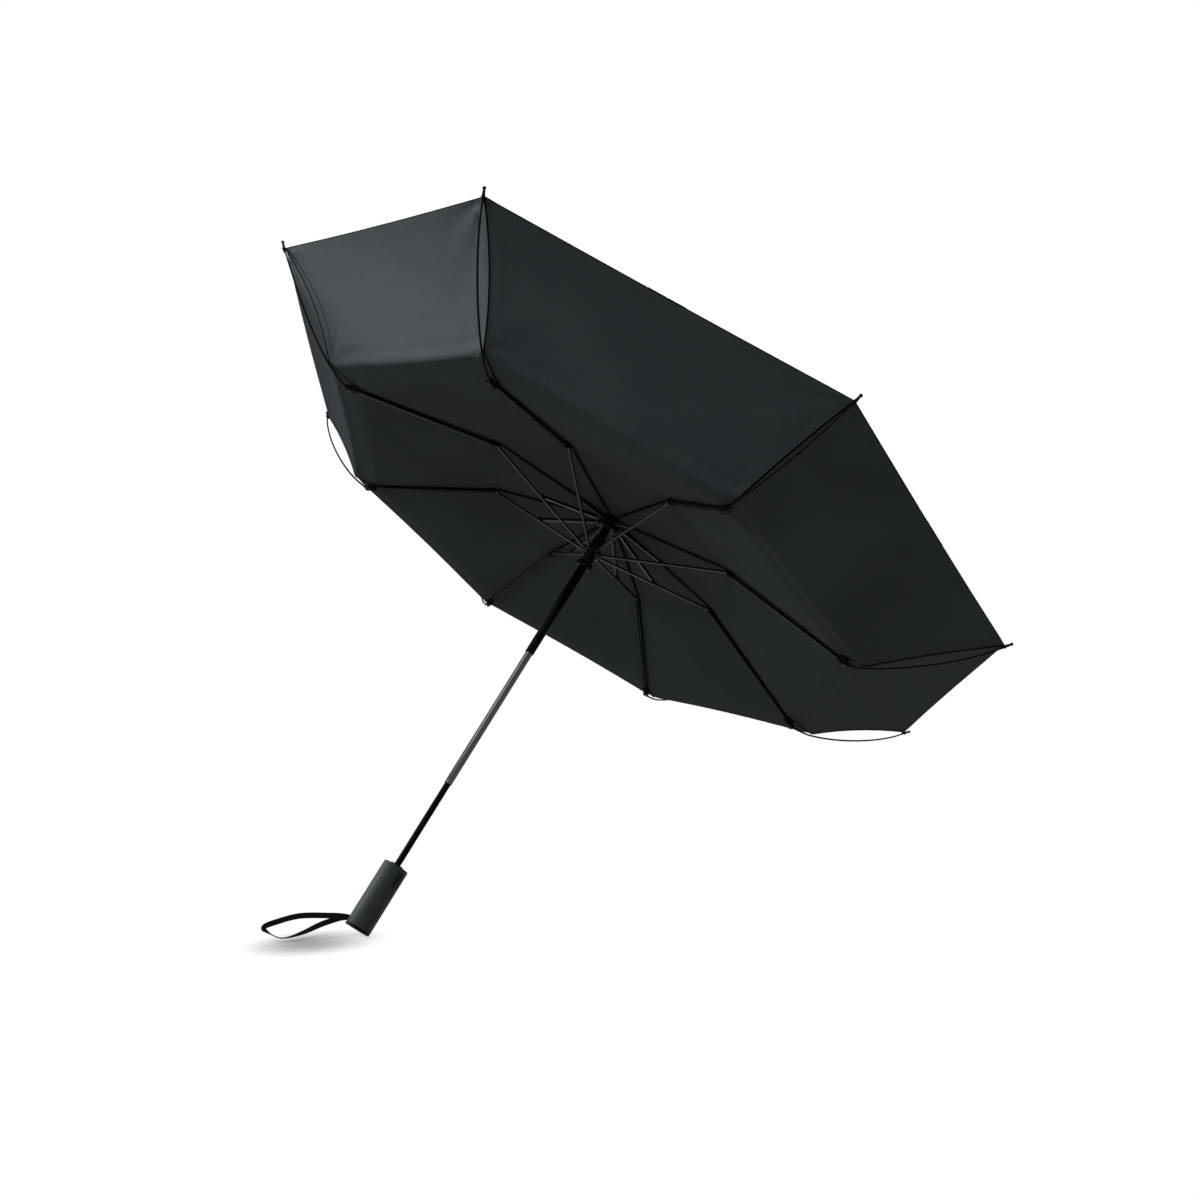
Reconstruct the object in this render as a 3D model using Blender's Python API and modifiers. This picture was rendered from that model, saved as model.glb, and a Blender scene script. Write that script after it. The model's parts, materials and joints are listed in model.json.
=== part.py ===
"""Windproof three-section folding umbrella, blown inside out by the wind.

Metres, +Z up along the shaft. The origin is the centre of the flat bottom face of the
handle. Eight identical rib chains stand around the shaft. Each chain lies in an upright
plane through the shaft, where a place is given as (radius, height). Angles in that plane
are counted up from the horizontal, outwards.
"""
import math

import bmesh
import bpy
from mathutils import Matrix, Vector

# Gaps and small shared sizes
CLEARANCE = 0.0003
PIN_RADIUS = 0.0007
WIRE_RADIUS = 0.0005
CUT_OVERRUN = 0.0040

# Handle
GRIP_RADIUS = 0.0145
GRIP_TOP = 0.0772
GRIP_CHAMFER = 0.0012
GRIP_BREAK_SHARE = 0.3
CAP_THICKNESS = 0.0026
CAP_EDGE_SHARE = 0.15
CAP_BOSS_RADIUS = 0.0088
CAP_BOSS_HEIGHT = 0.0040
COLLAR_RADIUS = 0.0074
COLLAR_HEIGHT = 0.0016
COLLAR_EDGE_SHARE = 0.3

# Push button, seen square on it is a rounded rectangle in the side of the grip
BUTTON_AZIMUTH = math.radians(-35)
BUTTON_WIDTH = 0.0125
BUTTON_HEIGHT = 0.0158
BUTTON_CORNER = 0.0030
BUTTON_TOP = 0.0718
BUTTON_PROUD = 0.0003
BUTTON_DEPTH = 0.0031
BUTTON_TRAVEL = 0.0020

# Wrist strap of flat webbing, in the upright plane at azimuth 180 degrees
STRAP_WIDTH = 0.0060
STRAP_THICKNESS = 0.0011
STRAP_ROOT_HEIGHT = 0.0080
STRAP_SWING_ROOM = 0.0014
STRAP_PIVOT_DEPTH = 0.0010
STRAP_ROOT_DEPTH = 0.0027
STRAP_REACH = 0.0740
STRAP_DROP = 0.0575
STRAP_STEPS = 44
STRAP_TWIST_START_SHARE = 0.33
STRAP_TURN_SHARE = 0.50
STRAP_TWIST_END_SHARE = 0.86
STRAP_UPPER_SHARES = (
    (0.0, 0.0),
    (0.045, 0.0),
    (0.125, 0.03),
    (0.28, 0.125),
    (0.66, 0.423),
    (0.912, 0.748),
    (1.0, 0.944),
)
STRAP_LOWER_SHARES = (
    (0.92, 0.99),
    (0.74, 1.0),
    (0.613, 0.917),
    (0.455, 0.692),
    (0.305, 0.407),
    (0.20, 0.205),
    (0.125, 0.08),
    (0.045, 0.003),
    (0.0, 0.0),
)

# Telescoping shaft
LOWER_TUBE_RADIUS = 0.0036
LOWER_TUBE_WALL = 0.0007
MIDDLE_TUBE_WALL = 0.0005
TOP_TUBE_WALL = 0.0006
LOWER_TUBE_FOOT = 0.0120
LOWER_EXPOSED = 0.1042
MIDDLE_EXPOSED = 0.1773
TOP_EXPOSED = 0.1908
TUBE_OVERLAP = 0.0120

# Rib chain, places in the upright plane with the umbrella open
RIB_COUNT = 8
RIB_PHASE = math.radians(22.5)
PIVOT_RING_RADIUS = 0.0120
RUNNER_DROP = 0.0432
CROSSING_RADIUS = 0.0903
CROSSING_DROP = 0.0255
ELBOW_RADIUS = 0.1644
MID_RIB_LENGTH = 0.17384
MID_RIB_SLOPE = math.radians(-17.72)
KNUCKLE_LENGTH = 0.0130

# Outer rod, a curve that the wind bows away from the cloth
OUTER_CHORD = 0.16530
OUTER_CHORD_ANGLE = math.radians(31.37)
ROD_RADIUS = 0.0010
ROD_ROOT_ANGLE = math.radians(7.5)
ROD_TIP_ANGLE = math.radians(56)
ROD_ROOT_HANDLE = 0.0450
ROD_TIP_HANDLE = 0.0386
ROD_STEPS = 9
TIP_RADIUS = 0.0015
TIP_LENGTH = 0.0083
TIP_NOSE_SHARE = 0.3
TIP_ANGLE = math.radians(45)

# Channel sections of the ribs
TONGUE_HALF = 0.0011
CHANNEL_WALL = 0.0006
FORK_WALL = 0.0007
STRETCHER_DEPTH = 0.0024
EYE_RADIUS = 0.0018
CHANNEL_LIP = 0.0015
TOP_RIB_BACK = 0.0022
TOP_RIB_TAPER_SHARE = 0.8
TOP_RIB_EYE_LEAN = 0.3
TOP_RIB_WEB = 0.0005
TOP_RIB_ROOT = 0.0095
TOP_RIB_BLOCK = 0.0030
TOP_RIB_WEB_SETBACK = 0.0070
MID_RIB_BACK = 0.0021
MID_RIB_EYE_LEAN = 0.2
MID_RIB_WEB_SETBACK = 0.0045
KNUCKLE_NECK = 0.0055
KNUCKLE_NECK_DEPTH = 0.0040
KNUCKLE_SHOULDER = 0.0080
KNUCKLE_DEPTH = 0.0062
KNUCKLE_WALL = 0.0012
LINK_OFFSET = 0.0036
LINK_OFFSET_ANGLE = math.radians(130)
LINK_SIDE = 0.0030
LUG_RADIUS = 0.0014
LUG_INSET_SHARE = 0.08

# Runner and crown
HUB_RADIUS = 0.0074
HUB_ABOVE = 0.0230
HUB_BELOW = 0.0225
RING_RADIUS = 0.0133
RUNNER_RING_HALF = 0.0034
FLANGE_RADIUS = 0.0100
FLANGE_HEIGHT = 0.0070
CROWN_BELOW = 0.0080
CROWN_ABOVE = 0.0080
CROWN_ROOF = 0.0018
CROWN_EDGE = 0.0009
RUNNER_EDGE = 0.00085
CROWN_HUB_SHARE = 0.62

# Cap on top of the canopy
TOP_CAP_RADIUS = 0.0105
TOP_CAP_HEIGHT = 0.0110
TOP_CAP_STEM = 0.0060
TOP_CAP_DOME_SHARE = 0.45

# Canopy, a thin shell of eight taut gores over the ribs
CLOTH_THICKNESS = 0.0005
CLOTH_HOLE_RADIUS = 0.0062
CLOTH_ABOVE_ELBOW = 0.0050
CLOTH_ABOVE_KNUCKLE = 0.0036
CREASE_REACH = 0.0390
CREASE_RISE = 0.0020
CREASE_SAG = 0.0030
SEAM_BOW = 0.0075
HEM_SAG = 0.0045
GORE_STEPS = 4
OUTER_PANEL_STEPS = 4

# Facets
ROUND_STEPS = 40
TUBE_STEPS = 20
EYE_STEPS = 3
HOLE_STEPS = 8
CORNER_STEPS = 3
DOME_STEPS = 5
TOP_CAP_STEPS = 32
TIP_STEPS = 8
ROUTE_STEPS = 12

# Angles above which an edge stays crisp
SHARP_ANGLE = math.radians(35)
CLOTH_SHARP_ANGLE = math.radians(20)

# Places that follow from the sizes above
MIDDLE_JOINT_Z = GRIP_TOP + LOWER_EXPOSED
TOP_JOINT_Z = MIDDLE_JOINT_Z + MIDDLE_EXPOSED
CROWN_PIVOT = Vector((PIVOT_RING_RADIUS, TOP_JOINT_Z + TOP_EXPOSED))
RUNNER_PIVOT = Vector((PIVOT_RING_RADIUS, CROWN_PIVOT.y - RUNNER_DROP))
CROSSING = Vector((CROSSING_RADIUS, CROWN_PIVOT.y - CROSSING_DROP))
TOP_RIB_LENGTH = (CROSSING - CROWN_PIVOT).length
TOP_RIB_SLOPE = math.atan2(*reversed(CROSSING - CROWN_PIVOT))
STRETCHER_SLOPE = math.atan2(*reversed(CROSSING - RUNNER_PIVOT))
STRETCHER_INNER = (CROSSING - RUNNER_PIVOT).length
STRETCHER_OUTER = (ELBOW_RADIUS - CROSSING_RADIUS) / math.cos(STRETCHER_SLOPE)
MIDDLE_TUBE_RADIUS = LOWER_TUBE_RADIUS + CLEARANCE + MIDDLE_TUBE_WALL
TOP_TUBE_RADIUS = MIDDLE_TUBE_RADIUS + CLEARANCE + TOP_TUBE_WALL
HOLE_RADIUS = PIN_RADIUS + CLEARANCE
WIRE_HOLE_RADIUS = WIRE_RADIUS + CLEARANCE
CHANNEL_INNER = TONGUE_HALF + CLEARANCE
CHANNEL_OUTER = CHANNEL_INNER + CHANNEL_WALL
FORK_OUTER = CHANNEL_INNER + FORK_WALL
SLOT_WIDTH = 2 * (TONGUE_HALF + CLEARANCE)
STRAP_SLOT_HALF = STRAP_THICKNESS + CLEARANCE / 2 + STRAP_SWING_ROOM
STRAP_SLOT_HEIGHT = STRAP_WIDTH + STRAP_SWING_ROOM + 2 * CLEARANCE
STRAP_SLOT_DEPTH = STRAP_ROOT_DEPTH + STRAP_SWING_ROOM / 2
STRAP_ROOT = GRIP_RADIUS - STRAP_ROOT_DEPTH
CROWN_TOP_Z = CROWN_PIVOT.y + CROWN_ABOVE


def along(angle, length):
    """A step of the given length in the upright plane, as (radius, height)."""
    return Vector((math.cos(angle), math.sin(angle))) * length


ELBOW = CROSSING + along(STRETCHER_SLOPE, STRETCHER_OUTER)
KNUCKLE = ELBOW + along(MID_RIB_SLOPE, MID_RIB_LENGTH)
FLIP_PIVOT = KNUCKLE + along(MID_RIB_SLOPE, KNUCKLE_LENGTH)
ROD_END = FLIP_PIVOT + along(OUTER_CHORD_ANGLE, OUTER_CHORD)
LINK_ROOT = CROSSING + along(LINK_OFFSET_ANGLE, LINK_OFFSET)


def clear_scene():
    """Remove every object, so that the model starts from nothing."""
    for obj in list(bpy.data.objects):
        bpy.data.objects.remove(obj, do_unlink=True)


def make_collection(name):
    """A collection of that name, linked to the scene."""
    found = bpy.data.collections.get(name) or bpy.data.collections.new(name)
    if found.name not in bpy.context.scene.collection.children:
        bpy.context.scene.collection.children.link(found)
    return found


def make_material(name, colour, roughness, metallic):
    """A plain Principled material."""
    made = bpy.data.materials.get(name) or bpy.data.materials.new(name)
    made.use_nodes = True
    shader = made.node_tree.nodes["Principled BSDF"]
    shader.inputs["Base Color"].default_value = (*colour, 1.0)
    shader.inputs["Roughness"].default_value = roughness
    shader.inputs["Metallic"].default_value = metallic
    return made


def new_object(name, data):
    """An object in the umbrella's collection."""
    obj = bpy.data.objects.new(name, data)
    PARTS.objects.link(obj)
    return obj


def bake(obj):
    """Replace an object's data by its evaluated, welded mesh."""
    depsgraph = bpy.context.evaluated_depsgraph_get()
    mesh = bpy.data.meshes.new_from_object(obj.evaluated_get(depsgraph))
    work = bmesh.new()
    work.from_mesh(mesh)
    bmesh.ops.remove_doubles(work, verts=work.verts, dist=CLEARANCE / 100)
    work.to_mesh(mesh)
    work.free()
    baked = new_object(obj.name + "_baked", mesh)
    baked.matrix_world = obj.matrix_world.copy()
    name = obj.name
    bpy.data.objects.remove(obj, do_unlink=True)
    baked.name = name
    return baked


def combine(target, other, operation):
    """Join, cut or intersect a mesh with another mesh, which is used up."""
    modifier = target.modifiers.new(operation.title(), "BOOLEAN")
    modifier.operation = operation
    modifier.object = other
    bpy.context.view_layer.update()
    result = bake(target)
    bpy.data.objects.remove(other, do_unlink=True)
    return result


def move_mesh(obj, matrix):
    """Move an object's points, not its origin."""
    obj.data.transform(matrix)
    return obj


def turned(name, profile, steps=ROUND_STEPS):
    """A profile of (radius, height) points, outer side running down, turned about Z."""
    mesh = bpy.data.meshes.new(name)
    count = len(profile)
    edges = [(i, i + 1) for i in range(count - 1)]
    if profile[0][0] > 0 and profile[-1][0] > 0:
        edges.append((count - 1, 0))
    mesh.from_pydata([(r, 0, z) for r, z in profile], edges, [])
    obj = new_object(name, mesh)
    screw = obj.modifiers.new("Screw", "SCREW")
    screw.steps = steps
    screw.render_steps = steps
    screw.use_merge_vertices = True
    screw.merge_threshold = CLEARANCE / 100
    return bake(obj)


def pipe_profile(outer, inner, low, high):
    """A plain tube's profile."""
    return [(outer, high), (outer, low), (inner, low), (inner, high)]


def arc(centre, radius, start, end, steps):
    """Points of an arc about (x, z), both ends counted."""
    angles = [start + (end - start) * i / steps for i in range(steps + 1)]
    return [(centre[0] + radius * math.cos(a), centre[1] + radius * math.sin(a)) for a in angles]


def circle(centre, radius, steps=HOLE_STEPS):
    """Points of a closed circle about (x, z)."""
    return arc(centre, radius, 0, 2 * math.pi * (steps - 1) / steps, steps - 1)


def plate(name, loops, low, high):
    """Outlines in the XZ plane, the first with the others as holes, from y low to high."""
    curve = bpy.data.curves.new(name, "CURVE")
    curve.dimensions = "2D"
    curve.fill_mode = "BOTH"
    curve.extrude = (high - low) / 2
    for loop in loops:
        spline = curve.splines.new("POLY")
        spline.points.add(len(loop) - 1)
        for point, (x, z) in zip(spline.points, loop):
            point.co = (x, z, 0, 1)
        spline.use_cyclic_u = True
    obj = bake(new_object(name, curve))
    turn = Matrix.Rotation(math.pi / 2, 4, "X")
    shift = Matrix.Translation((0, (low + high) / 2, 0))
    return move_mesh(obj, shift @ turn)


def box(name, low, high):
    """A box between two corners."""
    mesh = bpy.data.meshes.new(name)
    work = bmesh.new()
    bmesh.ops.create_cube(work, size=1)
    work.to_mesh(mesh)
    work.free()
    size = [b - a for a, b in zip(low, high)]
    centre = [(a + b) / 2 for a, b in zip(low, high)]
    obj = new_object(name, mesh)
    return move_mesh(obj, Matrix.Translation(centre) @ Matrix.Diagonal((*size, 1)))


def pin(name, radius, half_length, place, steps=HOLE_STEPS):
    """A pin along Y, centred on (x, z)."""
    mesh = bpy.data.meshes.new(name)
    work = bmesh.new()
    bmesh.ops.create_cone(
        work, cap_ends=True, segments=steps, radius1=radius, radius2=radius, depth=2 * half_length
    )
    work.to_mesh(mesh)
    work.free()
    turn = Matrix.Rotation(math.pi / 2, 4, "X") @ Matrix.Rotation(math.pi / steps, 4, "Z")
    return move_mesh(new_object(name, mesh), Matrix.Translation((place[0], 0, place[1])) @ turn)


def wire(name, points, radius):
    """A round wire through points."""
    curve = bpy.data.curves.new(name, "CURVE")
    curve.dimensions = "3D"
    curve.bevel_depth = radius
    curve.bevel_resolution = 1
    curve.use_fill_caps = True
    spline = curve.splines.new("POLY")
    spline.points.add(len(points) - 1)
    for point, place in zip(spline.points, points):
        point.co = (*place, 1)
    return bake(new_object(name, curve))


def around(obj_list):
    """Join pieces that don't touch into one cutting or joining object."""
    first = obj_list[0]
    work = bmesh.new()
    for obj in obj_list:
        work.from_mesh(obj.data)
    work.to_mesh(first.data)
    work.free()
    for obj in obj_list[1:]:
        bpy.data.objects.remove(obj, do_unlink=True)
    return first


def rib_azimuth(index):
    """Azimuth of a rib chain, counted from 0."""
    return RIB_PHASE + 2 * math.pi * index / RIB_COUNT


def repeat_around(make):
    """Make a piece at azimuth 0 for each rib chain and turn it to its place."""
    made = []
    for index in range(RIB_COUNT):
        made.append(move_mesh(make(index), Matrix.Rotation(rib_azimuth(index), 4, "Z")))
    return around(made)


def finish(obj, material, sharp=SHARP_ANGLE):
    """Give a piece its material and smooth shading."""
    obj.data.materials.clear()
    obj.data.materials.append(material)
    obj.data.shade_smooth()
    obj.data.set_sharp_from_angle(angle=sharp)
    return obj


def make_grip():
    """Straight matt handle with a pocket for the button and a slot for the strap."""
    bore = LOWER_TUBE_RADIUS + CLEARANCE
    foot = CAP_THICKNESS + CLEARANCE
    recess = CAP_BOSS_RADIUS + CLEARANCE
    recess_top = CAP_THICKNESS + CAP_BOSS_HEIGHT + CLEARANCE
    softened = GRIP_CHAMFER * GRIP_BREAK_SHARE
    profile = [
        (bore, GRIP_TOP),
        (GRIP_RADIUS - GRIP_CHAMFER, GRIP_TOP),
        (GRIP_RADIUS - softened, GRIP_TOP - softened),
        (GRIP_RADIUS, GRIP_TOP - GRIP_CHAMFER),
        (GRIP_RADIUS, foot),
        (recess, foot),
        (recess, recess_top),
        (bore, recess_top),
    ]
    grip = turned("grip", profile)
    pocket = button_prism("button_pocket", CLEARANCE, -BUTTON_TRAVEL - CLEARANCE)
    grip = combine(grip, pocket, "DIFFERENCE")
    mouth = -GRIP_RADIUS
    middle = STRAP_ROOT_HEIGHT
    slot = box(
        "strap_slot",
        (mouth - CUT_OVERRUN, -STRAP_SLOT_HALF, middle - STRAP_SLOT_HEIGHT / 2),
        (mouth + STRAP_SLOT_DEPTH, STRAP_SLOT_HALF, middle + STRAP_SLOT_HEIGHT / 2),
    )
    return finish(combine(grip, slot, "DIFFERENCE"), PLASTIC)


def button_prism(name, grow, inner_shift):
    """Rounded rectangle pushed out through the grip's side along the button's azimuth."""
    half_width = BUTTON_WIDTH / 2 + grow
    half_height = BUTTON_HEIGHT / 2 + grow
    corner = BUTTON_CORNER + grow
    loop = []
    for index, (sx, sz) in enumerate(((1, 1), (-1, 1), (-1, -1), (1, -1))):
        centre = (sx * (half_width - corner), sz * (half_height - corner))
        start = index * math.pi / 2
        loop += arc(centre, corner, start, start + math.pi / 2, CORNER_STEPS)
    inner = GRIP_RADIUS - BUTTON_DEPTH + inner_shift
    prism = plate(name, [loop], inner, GRIP_RADIUS + CUT_OVERRUN)
    middle = BUTTON_TOP - BUTTON_HEIGHT / 2
    turn = Matrix.Rotation(BUTTON_AZIMUTH - math.pi / 2, 4, "Z")
    return move_mesh(prism, Matrix.Translation((0, 0, middle)) @ turn)


def make_button():
    """Push button whose face follows the grip's round side."""
    button = button_prism("push_button", 0, 0)
    skin = turned(
        "button_skin",
        pipe_profile(
            GRIP_RADIUS + BUTTON_PROUD,
            CAP_BOSS_RADIUS,
            BUTTON_TOP - BUTTON_HEIGHT - CUT_OVERRUN,
            BUTTON_TOP + CUT_OVERRUN,
        ),
    )
    return finish(combine(button, skin, "INTERSECT"), PLASTIC)


def make_end_cap():
    """Thin dark cap with a boss in the handle's recess, its flat bottom at height zero."""
    edge = CAP_THICKNESS * CAP_EDGE_SHARE
    profile = [
        (0, CAP_THICKNESS + CAP_BOSS_HEIGHT),
        (CAP_BOSS_RADIUS, CAP_THICKNESS + CAP_BOSS_HEIGHT),
        (CAP_BOSS_RADIUS, CAP_THICKNESS),
        (GRIP_RADIUS, CAP_THICKNESS),
        (GRIP_RADIUS, edge),
        (GRIP_RADIUS - edge, 0),
        (0, 0),
    ]
    return finish(turned("end_cap", profile), DARK_PLASTIC)


def make_collar():
    """Small ring round the shaft on top of the grip."""
    low = GRIP_TOP + CLEARANCE
    high = GRIP_TOP + COLLAR_HEIGHT
    bore = LOWER_TUBE_RADIUS + CLEARANCE
    edge = COLLAR_HEIGHT * COLLAR_EDGE_SHARE
    profile = [
        (bore, high),
        (COLLAR_RADIUS - edge, high),
        (COLLAR_RADIUS, high - edge),
        (COLLAR_RADIUS, low),
        (bore, low),
    ]
    return finish(turned("handle_collar", profile, TUBE_STEPS), DARK_PLASTIC)


def make_tube(name, outer, wall, low, high, material):
    """One length of the telescoping shaft."""
    return finish(turned(name, pipe_profile(outer, outer - wall, low, high), TUBE_STEPS), material)


def make_tubes():
    """Three tubes, each sliding over the one below it."""
    make_tube(
        "lower_tube",
        LOWER_TUBE_RADIUS,
        LOWER_TUBE_WALL,
        LOWER_TUBE_FOOT,
        MIDDLE_JOINT_Z + TUBE_OVERLAP,
        BLACK_STEEL,
    )
    make_tube(
        "middle_tube",
        MIDDLE_TUBE_RADIUS,
        MIDDLE_TUBE_WALL,
        MIDDLE_JOINT_Z,
        TOP_JOINT_Z + TUBE_OVERLAP,
        GREY_STEEL,
    )
    make_tube(
        "top_tube",
        TOP_TUBE_RADIUS,
        TOP_TUBE_WALL,
        TOP_JOINT_Z,
        CROWN_TOP_Z - CROWN_ROOF,
        BLACK_STEEL,
    )


def radial_slots(inner, low, high):
    """Slots for the rib ends, open at the rim."""

    def slot(index):
        return box(
            f"slot_{index}",
            (inner, -SLOT_WIDTH / 2, low),
            (RING_RADIUS + CUT_OVERRUN, SLOT_WIDTH / 2, high),
        )

    return repeat_around(slot)


def make_crown():
    """Notched ring that carries the top ribs on cross pins."""
    low = CROWN_PIVOT.y - CROWN_BELOW
    high = CROWN_TOP_Z
    bore = TOP_TUBE_RADIUS + CLEARANCE
    edge = CROWN_EDGE
    profile = [
        (bore, high),
        (RING_RADIUS - edge, high),
        (RING_RADIUS, high - edge),
        (RING_RADIUS, low + edge),
        (RING_RADIUS - edge, low),
        (bore, low),
    ]
    crown = turned("crown", profile)
    slot_floor = RING_RADIUS * CROWN_HUB_SHARE
    slots = radial_slots(slot_floor, low - CUT_OVERRUN, high - CROWN_ROOF)
    crown = combine(crown, slots, "DIFFERENCE")

    def cross_pin(index):
        return pin(f"cross_pin_{index}", PIN_RADIUS, SLOT_WIDTH / 2 + CLEARANCE, CROWN_PIVOT)

    return finish(combine(crown, repeat_around(cross_pin), "UNION"), DARK_PLASTIC)


def make_runner():
    """Sliding hub with a notched ring for the stretchers and a notched finger flange."""
    pivot = RUNNER_PIVOT.y
    bore = TOP_TUBE_RADIUS + CLEARANCE
    high = pivot + HUB_ABOVE
    low = pivot - HUB_BELOW
    edge = RUNNER_EDGE
    flange_top = low + FLANGE_HEIGHT
    profile = [
        (bore, high),
        (HUB_RADIUS - edge, high),
        (HUB_RADIUS, high - edge),
        (HUB_RADIUS, pivot + RUNNER_RING_HALF),
        (RING_RADIUS, pivot + RUNNER_RING_HALF - edge),
        (RING_RADIUS, pivot - RUNNER_RING_HALF + edge),
        (HUB_RADIUS, pivot - RUNNER_RING_HALF),
        (HUB_RADIUS, flange_top + edge),
        (FLANGE_RADIUS, flange_top - edge),
        (FLANGE_RADIUS, low + edge),
        (FLANGE_RADIUS - edge, low),
        (bore, low),
    ]
    runner = turned("runner", profile)
    slots = radial_slots(HUB_RADIUS + CLEARANCE, low - CUT_OVERRUN, high)
    runner = combine(runner, slots, "DIFFERENCE")
    runner = finish(runner, DARK_PLASTIC)
    place_origin(runner, Vector((0, 0, pivot)))
    return runner


def make_top_cap():
    """Low domed cap over the canopy with a stem into the top tube."""
    base = CROWN_TOP_Z + 2 * CLEARANCE + CLOTH_THICKNESS + CLEARANCE
    stem = TOP_TUBE_RADIUS - TOP_TUBE_WALL - CLEARANCE
    dome = TOP_CAP_HEIGHT * TOP_CAP_DOME_SHARE
    rounding = arc((0, 0), 1, 0, math.pi / 2, DOME_STEPS)
    profile = [(TOP_CAP_RADIUS * x, base + TOP_CAP_HEIGHT - dome + dome * z) for x, z in rounding]
    profile.reverse()
    profile[0] = (0, profile[0][1])
    profile += [
        (TOP_CAP_RADIUS, base),
        (stem, base),
        (stem, base - TOP_CAP_STEM),
        (0, base - TOP_CAP_STEM),
    ]
    return finish(turned("top_cap", profile, TOP_CAP_STEPS), DARK_PLASTIC)


def eye_end(centre, radius, facing, steps=EYE_STEPS):
    """Half circle that rounds off a bar's end, drawn anticlockwise."""
    return arc(centre, radius, facing - math.pi / 2, facing + math.pi / 2, steps)


def eye_bar_outline(length, depth, start_radius, end_radius):
    """Side view of a straight bar with a round eye at each end, along +X from zero."""
    half = depth / 2
    lean_start = math.asin(min(1, half / start_radius))
    lean_end = math.asin(min(1, half / end_radius))
    end = arc((length, 0), end_radius, lean_end - math.pi, math.pi - lean_end, 2 * EYE_STEPS)
    start = arc((0, 0), start_radius, lean_start, 2 * math.pi - lean_start, 2 * EYE_STEPS)
    return end + start


def make_stretcher_mesh():
    """Flat bar from the runner over the crossing pin to the elbow, origin at the crossing."""
    total = STRETCHER_INNER + STRETCHER_OUTER
    loops = [
        eye_bar_outline(total, STRETCHER_DEPTH, EYE_RADIUS, EYE_RADIUS),
        circle((0, 0), PIN_RADIUS),
        circle((STRETCHER_INNER, 0), HOLE_RADIUS),
        circle((total, 0), HOLE_RADIUS),
    ]
    bar = plate("stretcher", loops, -TONGUE_HALF, TONGUE_HALF)
    return move_mesh(bar, Matrix.Translation((-STRETCHER_INNER, 0, 0)))


def add_lug(body, pivot, centre, low, high):
    """Join a lug from a pivot to a link's place on one wall and drill its hole."""
    heading = math.atan2(centre.y - pivot.y, centre.x - pivot.x)
    outline = eye_end(centre, LUG_RADIUS, heading) + eye_end(pivot, LUG_RADIUS, heading + math.pi)
    inset = (high - low) * LUG_INSET_SHARE
    body = combine(body, plate("lug", [outline], low + inset, high - inset), "UNION")
    drill_start = (low + TONGUE_HALF) / 2
    drill = plate("lug_hole", [circle(centre, WIRE_HOLE_RADIUS)], drill_start, high + CUT_OVERRUN)
    return combine(body, drill, "DIFFERENCE")


def make_top_rib_mesh():
    """Channel open to the cloth, from the crown's pin to the crossing pin."""
    length = TOP_RIB_LENGTH
    lip = CHANNEL_LIP
    quarter = math.pi / 2 - TOP_RIB_EYE_LEAN
    side = [(TOP_RIB_ROOT, -TOP_RIB_BACK)]
    side += [(length, -TOP_RIB_BACK * TOP_RIB_TAPER_SHARE)]
    side += arc((length, 0), EYE_RADIUS, -quarter, quarter, EYE_STEPS)
    side += [(length, lip), (TOP_RIB_ROOT, lip)]
    rib = plate("top_rib", [side], -CHANNEL_OUTER, CHANNEL_OUTER)
    block_end = TOP_RIB_ROOT + TOP_RIB_BLOCK
    floor = -TOP_RIB_BACK + TOP_RIB_WEB
    web_end = length - TOP_RIB_WEB_SETBACK
    far = length + EYE_RADIUS + CUT_OVERRUN
    hollow = [
        (block_end, floor),
        (web_end, floor),
        (web_end, -CUT_OVERRUN),
        (far, -CUT_OVERRUN),
        (far, CUT_OVERRUN),
        (block_end, CUT_OVERRUN),
    ]
    rib = combine(rib, plate("hollow", [hollow], -CHANNEL_INNER, CHANNEL_INNER), "DIFFERENCE")
    tongue_end = TOP_RIB_ROOT + TOP_RIB_BLOCK / 2
    tongue_half = STRETCHER_DEPTH / 2
    lean = math.asin(tongue_half / EYE_RADIUS)
    tongue = [(tongue_end, -tongue_half), (tongue_end, tongue_half)]
    tongue += arc((0, 0), EYE_RADIUS, lean, 2 * math.pi - lean, 2 * EYE_STEPS)
    root = plate("tongue", [tongue, circle((0, 0), HOLE_RADIUS)], -TONGUE_HALF, TONGUE_HALF)
    rib = combine(rib, root, "UNION")
    crossing_pin = pin("crossing_pin", PIN_RADIUS, CHANNEL_INNER + CHANNEL_WALL / 2, (length, 0))
    rib = combine(rib, crossing_pin, "UNION")
    pivot = Vector((length, 0))
    centre = pivot + along(LINK_OFFSET_ANGLE - TOP_RIB_SLOPE, LINK_OFFSET)
    return add_lug(rib, pivot, centre, CHANNEL_INNER, CHANNEL_OUTER)


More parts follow.
